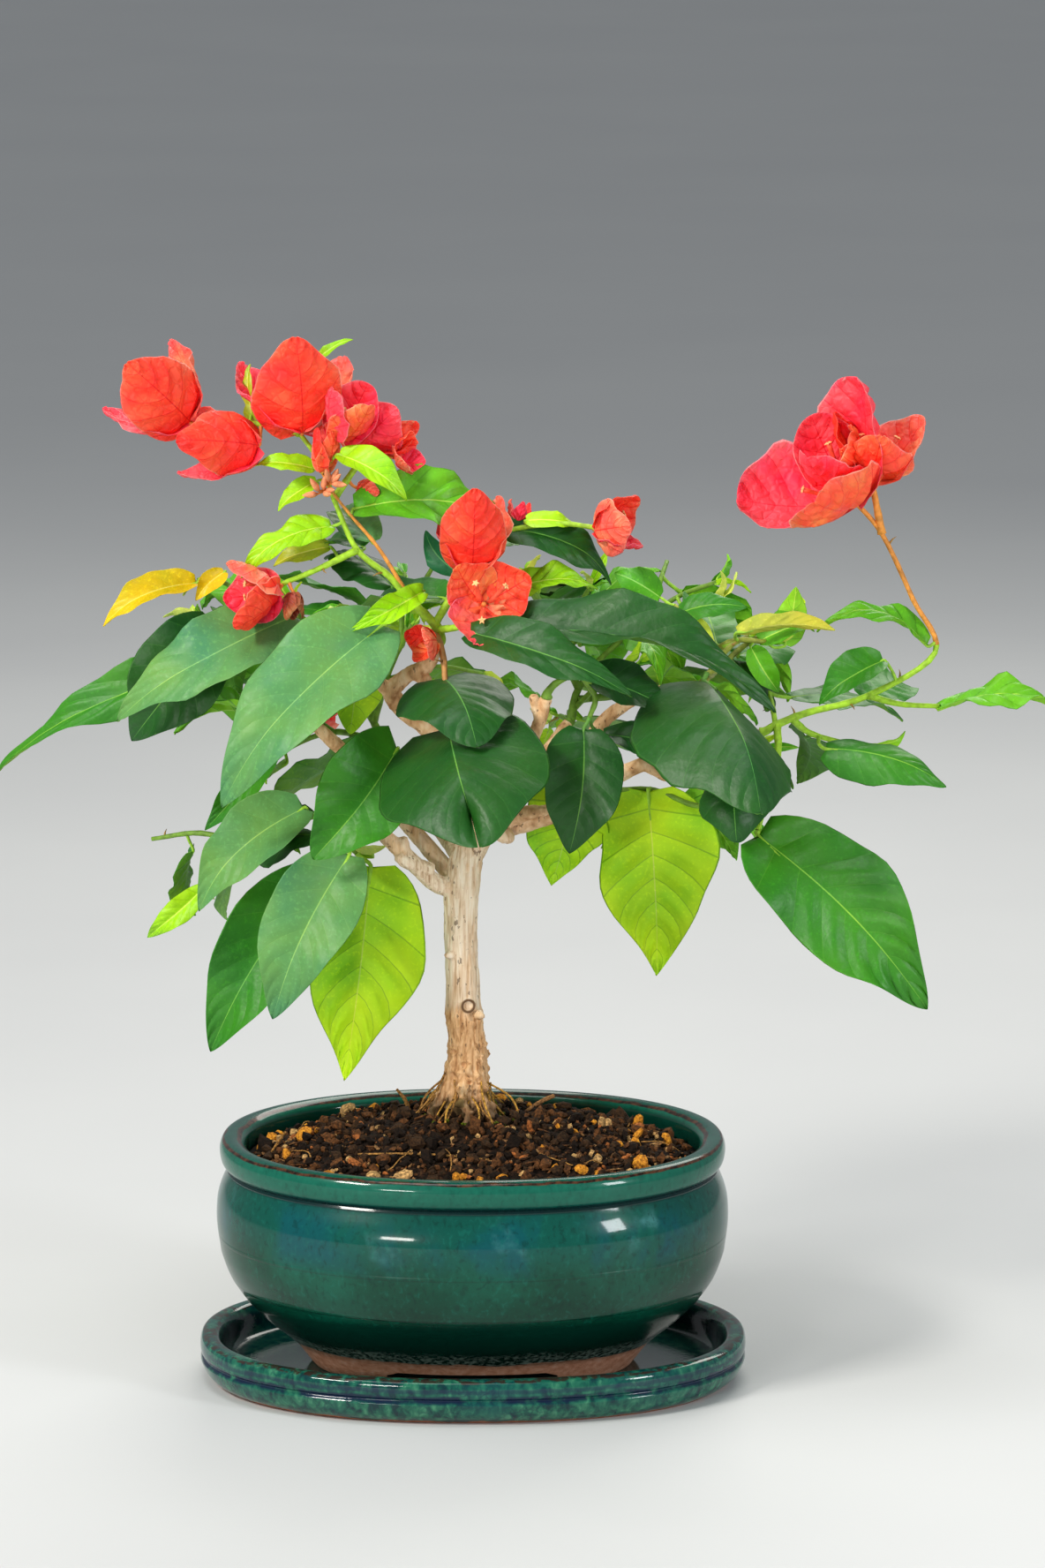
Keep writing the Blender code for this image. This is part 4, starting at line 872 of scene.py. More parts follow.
def soil_height(x, y):
    share = edge_share(x, y)
    toward = max(0.0, 1 - share)
    share = edge_share(x - TRUNK_FOOT.x * toward, y - TRUNK_FOOT.y * toward)
    rise = np.interp(share, [row[0] for row in MOUND], [row[1] for row in MOUND])
    base = SOIL_EDGE_Z + rise * (SOIL_TOP_Z - SOIL_EDGE_Z)
    lumps = 1.5 * noise.noise(Vector((x, y, 0.0)) * 0.11) + 0.9 * noise.noise(Vector((x, y, 7.0)) * 0.35)
    return base + lumps * min(1.0, 6 * max(0.0, 1 - share)) - 0.3


def on_soil(x, y, lift):
    return np.array([x, y, soil_height(x, y) + lift])


def from_trunk(x, y):
    return math.hypot(x - TRUNK_FOOT.x, y - TRUNK_FOOT.y)


def soil_ring(share, count):
    return oval_ring(SOIL_EDGE_HALF * share, (SOIL_EDGE_HALF - POT_OVAL) * share, 0.0, POT_POWER, count)


def make_ground(materials):
    """The peat itself, a lumpy mound on a plain plug that fills the pot."""
    rings = [pot_ring(half - 0.4, z, GROUND_SIDES)
             for half, z in ((50.0, SOIL_BOTTOM_Z), (75.6, 33.4), (82.0, 45.4), (84.2, 60.2), (81.4, 75.8))]
    for share in np.linspace(1.0, 0.02, 70):
        ring = soil_ring(share, GROUND_SIDES)
        for point in ring:
            point[2] = soil_height(point[0], point[1])
        rings.append(ring)
    placed(wall("soil_ground", rings, "peat", materials), "potting_soil", "soil")


def make_balls(seed, kinds, fine):
    """A few broken grains about 1 across: balls cut by random planes, with uneven corners."""
    draw = random.Random(seed)
    made = []
    for _ in range(kinds):
        net = bmesh.new()
        bmesh.ops.create_icosphere(net, subdivisions=2 if fine else 1, radius=0.5)
        cuts = [(Vector((draw.gauss(0, 1), draw.gauss(0, 1), draw.gauss(0, 1))).normalized(),
                 draw.uniform(0.30, 0.42)) for _ in range(7)]
        uneven = (0.95, 1.05) if fine else (0.75, 1.3)
        for vert in net.verts:
            way = vert.co.normalized()
            reach = min([0.58] + [depth / way.dot(face) for face, depth in cuts if way.dot(face) > 0.1])
            vert.co = way * reach * draw.uniform(*uneven)
        points = np.array([vert.co[:] for vert in net.verts])
        faces = np.array([[vert.index for vert in face.verts] for face in net.faces])
        net.free()
        made.append((points, faces))
    return made


GRAINS = {True: make_balls(5, 9, True), False: make_balls(6, 12, False)}


def turned_grain(draw, fine=False):
    """One of the broken grains, turned and squashed: its points and its faces."""
    points, faces = draw.choice(GRAINS[fine])
    turn = np.array(Vector((draw.uniform(-1, 1), draw.uniform(-1, 1), draw.uniform(-1, 1))).normalized()
                    .rotation_difference(Vector((0, 0, 1))).to_matrix())
    squash = np.array([draw.uniform(0.8, 1.2), draw.uniform(0.6, 1.0), draw.uniform(0.5, 0.9)])
    return (points * squash) @ turn.T, faces


def scatter(draw, edge_pull):
    """A place on the soil; edge_pull above 1 gathers it towards the wall."""
    angle = draw.uniform(0, 2 * math.pi)
    share = draw.random() ** (0.5 / edge_pull) * 0.965
    return soil_ring(share, SCATTER_SIDES)[int(angle / (2 * math.pi) * SCATTER_SIDES) % SCATTER_SIDES][:2]


def strew_grains(heap, draw):
    for count, small, large, names, pull, fine in GRAIN_SORTS:
        for _ in range(count):
            x, y = scatter(draw, pull)
            size = small + (large - small) * draw.random() ** 2
            verts, faces = turned_grain(draw, fine)
            place = on_soil(x, y, draw.uniform(0.05, 0.34) * size)
            if from_trunk(x, y) < 9.0:
                continue
            room = 0.97 - size * 0.5 / SOIL_EDGE_HALF
            if edge_share(x, y) > room:
                place[:2] *= room / edge_share(x, y)
            heap.add_parts(verts * size + place, [faces], draw.choice(names))


def strew_chips(heap, draw):
    """Flat chips of bark that lie at any heading."""
    for _ in range(CHIPS):
        x, y = scatter(draw, 1.2)
        if edge_share(x, y) > 0.92 or from_trunk(x, y) < 11.0:
            continue
        heading = draw.uniform(0, 2 * math.pi)
        length, wide = draw.uniform(3.0, 8.0), draw.uniform(1.2, 2.6)
        verts, faces = turned_grain(draw)
        turn = np.array([[math.cos(heading), -math.sin(heading), 0],
                         [math.sin(heading), math.cos(heading), 0],
                         [draw.uniform(-0.3, 0.3), draw.uniform(-0.3, 0.3), 1]])
        chip = (verts * np.array([length, wide, 0.9])) @ turn.T
        name = draw.choice(("chip", "peat_red", "peat_brown", "peat_red"))
        heap.add_parts(chip + on_soil(x, y, 0.9), [faces], name)


def lay_rootlets(heap, draw):
    """Thin rootlets that wander over the soil."""
    steps, hop = 8, 2.2
    for _ in range(ROOTLETS):
        x, y = scatter(draw, 1.0)
        heading, bend = draw.uniform(0, 2 * math.pi), draw.uniform(-0.12, 0.12)
        course = []
        for step in range(steps):
            if edge_share(x, y) > 0.93:
                break
            arch = 1.6 * math.sin(math.pi * step / (steps - 1))
            course.append((*on_soil(x, y, 0.7 + arch), 0.28 - 0.02 * step))
            x += hop * math.cos(heading)
            y += hop * math.sin(heading)
            heading += bend + draw.uniform(-0.25, 0.25)
        if len(course) > 4:
            add_limb(heap, smooth(course, 2), 5, "rootlet")


def hang_root_threads(heap, draw):
    """Fine roots from the flare down to the soil around it."""
    for _ in range(ROOT_THREADS):
        angle, reach = draw.uniform(0, 2 * math.pi), draw.uniform(6.0, 9.0)
        heading = Vector((math.cos(angle), math.sin(angle), 0.0))
        start = Vector((*TRUNK_FOOT.xy, draw.uniform(97.0, 109.0))) + heading * reach
        spread = draw.uniform(4.0, 13.0)
        end = Vector((*(TRUNK_FOOT.xy + heading.xy * (reach + spread)), 0.0))
        end += Vector((draw.uniform(-4, 4), draw.uniform(-4, 4), 0.0))
        end.z = soil_height(end.x, end.y) - 0.4
        middle = start.lerp(end, 0.5) + Vector((draw.uniform(-3, 3), draw.uniform(-3, 3), 1.0))
        course = smooth([(*start, 0.35), (*middle, 0.42), (*end, 0.25)], 4)
        add_limb(heap, course, 5, draw.choice(("root", "root", "rootlet", "moss")))


def strew_moss(heap, draw):
    """Crumbs of moss around the foot of the trunk."""
    for _ in range(MOSS_CRUMBS):
        angle, reach = draw.uniform(0, 2 * math.pi), draw.uniform(9.0, 19.0)
        x = TRUNK_FOOT.x + reach * math.cos(angle)
        y = TRUNK_FOOT.y + reach * math.sin(angle)
        verts, faces = turned_grain(draw)
        verts = verts * draw.uniform(0.8, 2.2) + on_soil(x, y, 0.4)
        heap.add_parts(verts, [faces], draw.choice(("moss", "moss", "peat_brown")))


def make_crumbs(materials):
    """Everything that lies on the peat."""
    draw = random.Random(42)
    heap = Heap()
    for strew in (strew_grains, strew_chips, lay_rootlets, hang_root_threads, strew_moss):
        strew(heap, draw)
    for start, end, name in LOOSE_TWIGS:
        middle = tuple((a + b) / 2 + c for a, b, c in zip(start, end, (0.6, 0, 1.0, 0.1)))
        add_limb(heap, smooth([start, middle, end], 4), 7, name)
    placed(heap.build("soil_crumbs", materials, smooth=False), "potting_soil", "soil")


# ---------------------------------------------------------------- bark

# Knobs and cut stubs that stand on the limbs: rows of x, y, z, radius.
STUBS = [
    [(-14, 3, 183, 2.6), (-24, -1, 187, 2.2), (-26, -2, 189.5, 1.7)],
    [(-24, 1, 190, 2.3), (-24.5, 0, 195, 1.6)],
    [(-26, 2, 244, 2.8), (-31, 1, 249, 2.4), (-33, 0, 252, 1.7)],
    [(-20, 0, 254, 2.6), (-15.5, -5, 252, 2.0)],
    [(-36, 12, 213, 2.6), (-46, 8, 214, 2.0), (-50, 7, 216, 1.3)],
    [(7, 2, 200, 4.0), (12, -2, 196, 2.8), (12.5, -3, 194, 1.6)],
    [(12, 2, 201, 3.2), (19, -3, 204.5, 2.6), (27, -5, 206, 1.5)],
    [(24, -13, 240, 2.2), (22, -15, 246, 1.8), (21.5, -16, 249, 1.6)],
    [(60, 20, 242, 2.1), (60, 16, 250, 1.6)],
    [(66, 0, 223, 2.4), (67, -3, 229, 1.8)],
    [(-7, 4, 152, 2.2), (-9.6, 1.5, 152.5, 0.8)],
    [(2, 2, 131, 2.0), (3.6, -0.4, 131, 0.7)],
]
ROOTS = 15
# heights of the grafted collar, below which the bark is flaky, and of the knobs at the foot
FLAKY_BELOW_Z, COLLAR_MIDDLE_Z, KNOBS_BELOW_Z = 133.0, 129.0, 116.0
SCARS = ((-1.5, 134.0, 2.0), (-3.1, 112.5, 1.4), (1.8, 107.5, 1.2), (-6.6, 117.0, 1.1), (2.4, 113.0, 0.9),
         (-1.2, 106.5, 1.1), (3.6, 119.0, 0.8))   # x, z, radius
SKIN = 0.55                                 # spacing of the bark's mesh


def root_courses():
    """Roots that leave the flare, bend down and dive into the soil."""
    draw = random.Random(8)
    courses = []
    for number in range(ROOTS):
        strong = number < len(ROOT_HEADINGS)
        heading = math.radians(ROOT_HEADINGS[number] if strong else draw.uniform(0, 360))
        reach = draw.uniform(15, 20) if strong else draw.uniform(9, 14)
        thick = draw.uniform(2.1, 2.7) if strong else draw.uniform(0.9, 1.5)
        course = []
        for share, up in ((0.22, 21.0), (0.40, 13.0), (0.58, 6.4), (0.78, 2.0), (1.0, -3.5)):
            wander = heading + draw.uniform(-0.16, 0.16) * share * 2
            course.append((TRUNK_FOOT.x + reach * share * math.cos(wander),
                           TRUNK_FOOT.y + reach * share * math.sin(wander),
                           TRUNK_FOOT.z + up * (1.0 if strong else 0.8), thick * (1.08 - 0.55 * share)))
        courses.append(course)
    return courses


def limb_courses():
    """Every limb of the bark mesh, knobs and roots included."""
    flare = [(*TRUNK_FOOT.xy, z, radius)
             for z, radius in ((TRUNK_FOOT.z - 4.0, 8.8), (96.0, 8.4), (101.0, 7.7))]
    trunk = flare + TRUNK
    boughs = [list(course) for course in BOUGHS.values()] + [LOW_FORK]
    return [trunk] + boughs + STUBS + root_courses()


def make_bark(materials):
    """One skin over all limbs, with growth rings, furrows, flakes and scars."""
    heap = Heap()
    ways = []
    for course in limb_courses():
        line = smooth(course, 5)
        add_limb(heap, line, 18, "bark")
        ways.extend((a[:3], b[:3], a[3]) for a, b in zip(line, line[1:]))
    body = heap.build("bark_limbs", materials)
    skin = body.modifiers.new("skin", "REMESH")
    skin.mode = "VOXEL"
    skin.voxel_size = SKIN * MM * 1
    apply_modifiers(body)
    mesh = body.data
    points, normals = (np.empty(len(mesh.vertices) * 3) for _ in range(2))
    mesh.vertices.foreach_get("co", points)
    mesh.vertices.foreach_get("normal", normals)
    points, normals = points.reshape(-1, 3) / MM, normals.reshape(-1, 3)
    starts, ends = (np.array([way[k] for way in ways]) for k in (0, 1))
    spans = ends - starts
    lengths = np.linalg.norm(spans, axis=1)
    axes = spans / lengths[:, None]
    radii = np.array([way[2] for way in ways])
    push = np.empty(len(points))
    for i, point in enumerate(points):
        off = point - starts
        share = np.clip((off * axes).sum(axis=1), 0, lengths)
        gaps = np.linalg.norm(off - axes * share[:, None], axis=1)
        near = int(np.argmin(gaps - radii))
        push[i] = relief(point, axes[near], radii[near])
    points += normals * push[:, None]
    mesh.vertices.foreach_set("co", (points * MM).ravel())
    mesh.shade_smooth()
    mesh.update()
    placed(body, "bark", "trunk", *BOUGHS)


def relief(point, axis, radius):
    """How far the bark stands out here."""
    along = float(point @ axis)
    drawn = Vector(point - axis * along * 0.92)
    place = Vector(point)
    low = min(1.0, max(0.0, (FLAKY_BELOW_Z - point[2]) / 6.0))
    collar = math.exp(-((point[2] - COLLAR_MIDDLE_Z) / 3.4) ** 2)
    furrow = noise.noise(drawn * 1.1) * (0.16 + 0.05 * radius) + noise.noise(drawn * 2.6) * 0.12
    flake = noise.noise(place * 0.42) * 0.35 + noise.noise(place * 1.1) * 0.30
    lump = noise.noise(place * 0.11 + Vector((9, 0, 0))) * (0.22 + 0.05 * radius)
    rings = max(0.0, noise.noise(Vector((along * 0.33, radius, 0)))) ** 2 * 0.5
    knobs = max(0.0, noise.noise(place * 0.34 + Vector((0, 5, 0))) - 0.1) * 3.2
    push = furrow * (1 - 0.3 * low) + lump + rings
    push += low * (flake * 0.8 + knobs * (point[2] < KNOBS_BELOW_Z))
    push += collar * (0.35 + 1.1 * abs(flake))
    for x, z, size in SCARS:
        if point[1] < TRUNK_FOOT.y:
            off = math.hypot(point[0] - x, point[2] - z) / size
            push += 0.7 * math.exp(-((off - 1.0) / 0.32) ** 2) - 0.9 * math.exp(-(off / 0.7) ** 4)
    return push


# ---------------------------------------------------------------- the rule that the crown grows by

LEAD_IN = 2.5                               # a limb goes straight on this far before it bends


def stack(rings):
    """Coarse closed wall through rings: its points and its faces."""
    count = len(rings[0])
    verts = [p for ring in rings for p in ring]
    faces = [tuple(reversed(range(count)))]
    for r in range(len(rings) - 1):
        for i in range(count):
            j = (i + 1) % count
            faces.append((r * count + i, r * count + j, (r + 1) * count + j, (r + 1) * count + i))
    faces.append(tuple(range((len(rings) - 1) * count, len(rings) * count)))
    return verts, faces


def tube(course, sides):
    """Coarse round limb, only for testing what is clear."""
    points = [Vector(p[:3]) for p in course]
    rings, side = [], None
    for i, point in enumerate(points):
        along = (points[min(i + 1, len(points) - 1)] - points[max(i - 1, 0)]).normalized()
        if side is None:
            side = along.orthogonal()
        side = (side - along * side.dot(along)).normalized()
        other = along.cross(side)
        rings.append([point + course[i][3] * (math.cos(2 * math.pi * k / sides) * side
                                              + math.sin(2 * math.pi * k / sides) * other)
                      for k in range(sides)])
    return stack(rings)


def flare_rings(sides):
    """The foot of the trunk, with a lobe over each strong root."""
    rings = []
    top = TRUNK[0]
    for height in (0.0, 2.2, 5.5, 10.0):
        share = 1 - height / (FLARE_TOP_Z - TRUNK_FOOT.z)
        ring = []
        for k in range(sides):
            angle = 360.0 * k / sides
            lobe = sum(math.exp(-(((angle - h + 180) % 360 - 180) / 17.0) ** 2) for h in ROOT_HEADINGS)
            radius = top[3] + 1.6 * share + 6.2 * share ** 2.4 * lobe
            ring.append((TRUNK_FOOT.x + radius * math.cos(math.radians(angle)),
                         TRUNK_FOOT.y + radius * math.sin(math.radians(angle)), TRUNK_FOOT.z + height))
        rings.append(ring)
    return rings


def trunk_pieces():
    sides = 14
    rings = flare_rings(sides)
    for x, y, z, radius in TRUNK:
        rings.append([(x + radius * math.cos(2 * math.pi * k / sides),
                       y + radius * math.sin(2 * math.pi * k / sides), z) for k in range(sides)])
    return [stack(rings)] + [tube([course[0], course[1]], 8) for course in BOUGHS.values()]


def after_gap(course):
    """A bough's own course, which starts a gap beyond the fork that the trunk keeps."""
    start, ahead = Vector(course[0][:3]), Vector(course[1][:3])
    along = (ahead - start).normalized()
    radius = course[1][3]
    return [(*(ahead + GAP * along), radius), (*(ahead + LEAD_IN * along), radius)] + list(course[2:])


def bough_pieces(name):
    pieces = [tube(after_gap(BOUGHS[name]), 8)]
    if name == "bough_right":
        pieces.append(tube(LOW_FORK, 8))
    return pieces


def outline(s, base=BASE_WIDTH, tip=TIP_WIDTH):
    """Half width of a leaf along its length, 1 at the widest."""
    widest = base / (base + tip)
    return s ** base * (1 - s) ** tip / (widest ** base * (1 - widest) ** tip)


def upper_side(reach, face):
    """Across the leaf's length, as near as can be to the direction that it should face."""
    along = reach.normalized()
    up = Vector(face)
    return (up - along * up.dot(along)).normalized()


def spine(at, reach, face, arch, s):
    """Place on a leaf's arched midrib, s of the way to its tip."""
    return at + reach * s + upper_side(reach, face) * (arch * reach.length * 4 * s * (1 - s))


def blade(at, reach, wide, face, arch, fold, rough=False, swell=0.0):
    """Coarse leaf, only for testing what is clear."""
    at, reach = Vector(at), Vector(reach)
    length = reach.length
    along = reach.normalized()
    up = upper_side(reach, face)
    side = up.cross(along)
    thick = max(0.013 * length, 0.55) + 2 * swell
    lean = math.radians(fold)
    stations = STATIONS[-1][1] if rough else next(places for least, places in STATIONS if length > least)
    verts = [at - along * swell, at + reach + along * swell]
    for s in stations:
        middle = spine(at, reach, face, arch, s)
        half = wide / 2 * outline(s) + swell
        rim = up * (half * math.sin(lean))
        across = side * half * math.cos(lean)
        verts += [middle + across + rim, middle - across + rim,
                  middle + up * thick / 2, middle - up * thick / 2]
    faces = []
    for rim, ridge in ((0, 2), (2, 1), (1, 3), (3, 0)):
        for i in range(len(stations) - 1):
            a, b = 2 + 4 * i, 6 + 4 * i
            faces += [(a + rim, a + ridge, b + ridge), (a + rim, b + ridge, b + rim)]
        last = 2 + 4 * (len(stations) - 1)
        faces += [(0, 2 + ridge, 2 + rim), (last + rim, last + ridge, 1)]
    return verts, faces


def bracts(at, reach, wide, opening, turn):
    """The three bracts of a blossom, each as foot, reach, width, upper face, arch and fold."""
    at, axis = Vector(at), Vector(reach)
    length = axis.length
    along = axis.normalized()
    across = along.orthogonal().normalized()
    other = along.cross(across)
    rows = []
    for k, (swing, spread, share) in enumerate(BRACT_TRIO):
        angle = math.radians(turn + 120 * k + swing)
        out = across * math.cos(angle) + other * math.sin(angle)
        lean = math.radians(opening * spread)
        way = along * math.cos(lean) + out * math.sin(lean)
        rows.append((at + out * 0.25, way * length * share, wide * share, along - out, -0.10, 12 - 3 * k))
    return rows


def tree_of(piece):
    return BVHTree.FromPolygons([tuple(v) for v in piece[0]], piece[1])


def box_of(piece):
    verts = piece[0]
    return ([min(v[k] for v in verts) for k in range(3)], [max(v[k] for v in verts) for k in range(3)])


class Crown:
    """Keeps every coarse piece that stands, so that a new one is only let in where it is clear."""

    def __init__(self):
        self.standing = []

    def clear(self, owner, piece, own_too=False):
        """True where the piece touches nothing that stands, its own mass left out unless asked for."""
        low, high = box_of(piece)
        tree = None
        for other, (their_low, their_high), their_tree in self.standing:
            if other == owner and not own_too:
                continue
            if any(low[k] > their_high[k] or high[k] < their_low[k] for k in range(3)):
                continue
            tree = tree or tree_of(piece)
            if tree.overlap(their_tree):
                return False
        return True

    def add(self, owner, piece):
        self.standing.append((owner, box_of(piece), tree_of(piece)))


def nearest_on(shoots, point):
    """The place on the shoots that is nearest to the point."""
    best = None
    for course in shoots:
        for a, b in zip(course, course[1:]):
            start, end = Vector(a[:3]), Vector(b[:3])
            t = max(0.0, min(1.0, (point - start).dot(end - start) / (end - start).length_squared))
            spot = start.lerp(end, t)
            if best is None or (spot - point).length < (best - point).length:
                best = spot
    return best


def petiole(shoots, at, reach, face, arch, swell=0.0):
    radius = PETIOLE_R + swell
    return tube([(*nearest_on(shoots, at), radius), (*spine(at, reach, face, arch, 0.09), radius * 0.7)], 3)


def flower_stalk(shoots, at, reach):
    return tube([(*nearest_on(shoots, at), PETIOLE_R), (*at, 1.0), (*(at + reach * 0.14), 0.9)], 3)


def shoot_courses(mass):
    """Every shoot of a mass as rows of x, y, z, radius; the first goes on from the tip of its limb."""
    limb = LOW_FORK if mass["tip"] == "low_fork" else BOUGHS[mass["tip"]]
    before, tip = Vector(limb[-2][:3]), Vector(limb[-1][:3])
    along = (tip - before).normalized()
    courses = []
    for number, points in enumerate(mass["shoots"]):
        course = [Vector(p) for p in points]
        if number == 0:
            course = [tip + GAP * along, tip + LEAD_IN * along] + course
        first = limb[-1][3] if number == 0 else SHOOT_R
        count = len(course) - 1
        courses.append([(*p, first + (SHOOT_END_R - first) * min(1.0, 1.4 * i / count))
                        for i, p in enumerate(course)])
    return courses


def within(point, mass):
    """True inside the mass's ellipsoid and behind its front limit."""
    centre, half = mass["space"]
    inside = sum(((point[k] - centre[k]) / half[k]) ** 2 for k in range(3)) < 1.0
    return inside and point[1] > mass.get("front", -1000.0)


def places_along(course, spacing):
    """Evenly spaced places on a course, each with its heading."""
    points = [Vector(p[:3]) for p in course]
    passed, due = 0.0, 0.7 * spacing
    for start, end in zip(points, points[1:]):
        stretch = (end - start).length
        while due <= passed + stretch:
            yield start.lerp(end, (due - passed) / stretch), (end - start).normalized()
            due += spacing
        passed += stretch


def side_twig(draw, crown, name, mass, shoots):
    """A random twig off one of the shoots, or None where it isn't clear."""
    course = draw.choice(shoots)
    at = draw.randrange(len(course) - 1)
    root = Vector(course[at][:3]).lerp(Vector(course[at + 1][:3]), draw.uniform(0.2, 0.95))
    out = (root - HEART).normalized()
    heading = Vector((draw.uniform(-1, 1), draw.uniform(-1, 1), draw.uniform(-0.35, 0.8)))
    way = (out + 1.1 * heading).normalized()
    length = draw.uniform(22.0, 42.0)
    bend = Vector((0, 0, -0.10 * length))
    twig = [(*root, 1.1), (*(root + way * length * 0.5 - bend * 0.4), 1.0),
            (*(root + way * length + bend), 0.8)]
    swollen = [(*p[:3], p[3] + GAP) for p in twig]
    if within(twig[-1][:3], mass) and crown.clear(name, tube(swollen, 3)):
        return twig
    return None


def seeded_leaf(draw, place, way, turn, sizes):
    """A random leaf at a node, to the left or the right: its foot, its reach and its shape."""
    out = (place - HEART).normalized()
    flat = way.cross(Vector((0, 0, 1))).normalized() * turn
    lean = (way * draw.uniform(0.1, 0.8) + flat * draw.uniform(0.3, 1.1) + out * draw.uniform(0.0, 0.6)
            + Vector((0, 0, draw.uniform(-0.8, 0.15)))).normalized()
    size = draw.uniform(*sizes)
    face = out * 0.7 + Vector((draw.uniform(-0.3, 0.3), draw.uniform(-0.3, 0.3), 1.0))
    shape = (size * draw.uniform(0.46, 0.58), face, draw.uniform(0.05, 0.12), draw.uniform(-8, 18))
    return place + lean * draw.uniform(5.0, 10.0), lean * size, shape


class Growth:
    """What stands in one mass: shoots, twigs, leaves and blossoms, ready to be made in detail."""

    def __init__(self, name, mass):
        self.name, self.mass = name, mass
        self.shoots = shoot_courses(mass)
        self.twigs, self.leaves, self.blossoms = [], [], []


def grow_set(crown, name, mass):
    """Shoots, chosen leaves and blossoms of one mass."""
    growth = Growth(name, mass)
    for number, course in enumerate(growth.shoots):
        crown.add(name, tube(course, 3 if number else 5))
    rows = [(Vector(row[0]), Vector(row[1]), row[2:6]) for row in mass["leaves"]]
    stalks = [petiole(growth.shoots, at, reach, shape[1], shape[2]) for at, reach, shape in rows]
    growth.leaves = [(*row, leaf[6], growth.shoots, *leaf[7:]) for row, leaf in zip(rows, mass["leaves"])]
    for blossom in mass["blossoms"]:
        base, reach, wide, opening, turn, _ = blossom
        stalks.append(flower_stalk(growth.shoots, Vector(base), Vector(reach)))
        growth.blossoms.append(blossom)
        rows += [(at, lean, shape) for at, lean, *shape in bracts(base, reach, wide, opening, turn)]
    for stalk in stalks:
        crown.add(name, stalk)
    for at, reach, shape in rows:
        crown.add(name, blade(at, reach, *shape))
    return growth


def grow_rest(crown, growth):
    """Seeded side twigs, and leaves to left and right along every shoot where the space is free."""
    name, mass = growth.name, growth.mass
    draw = random.Random(mass["seed"])
    tones = random.Random(mass["seed"] + 1000)
    twigs = [side_twig(draw, crown, name, mass, growth.shoots) for _ in range(mass["twigs"])]
    for course in [twig for twig in twigs if twig] + growth.shoots:
        stem = tube(course, 3)
        is_twig = course not in growth.shoots
        if is_twig and not crown.clear(name, stem):
            continue
        leaves = 0
        for number, (place, way) in enumerate(places_along(course, LEAF_SPACING)):
            for attempt in range(LEAF_TRIES):
                sizes = [size * 0.92 ** attempt for size in mass.get("sizes", LEAF_SIZES)]
                at, reach, shape = seeded_leaf(draw, place, way, 1 if number % 2 else -1, sizes)
                stalk = (at, reach, shape[1], shape[2])
                if (within(at + reach * 0.5, mass) and within(at + reach, mass)
                        and crown.clear(name, blade(at, reach, *shape, rough=True, swell=GAP), own_too=True)
                        and crown.clear(name, petiole([course], *stalk, swell=GAP))):
                    crown.add(name, petiole([course], *stalk))
                    crown.add(name, blade(at, reach, *shape, rough=True))
                    growth.leaves.append((at, reach, shape, tones.choice(GROWN_TONES), [course]))
                    leaves += 1
                    break
        if is_twig and leaves:
            crown.add(name, stem)
            growth.twigs.append(course)


def grow_crown():
    """All coarse pieces, the chosen ones first, and what grew in each mass."""
    crown = Crown()
    for piece in trunk_pieces():
        crown.add("trunk", piece)
    for name in BOUGHS:
        for piece in bough_pieces(name):
            crown.add(name, piece)
    growths = [grow_set(crown, name, mass) for name, mass in MASSES.items()]
    for growth in growths:
        grow_rest(crown, growth)
    return crown, growths


# ---------------------------------------------------------------- leaves and bracts in detail

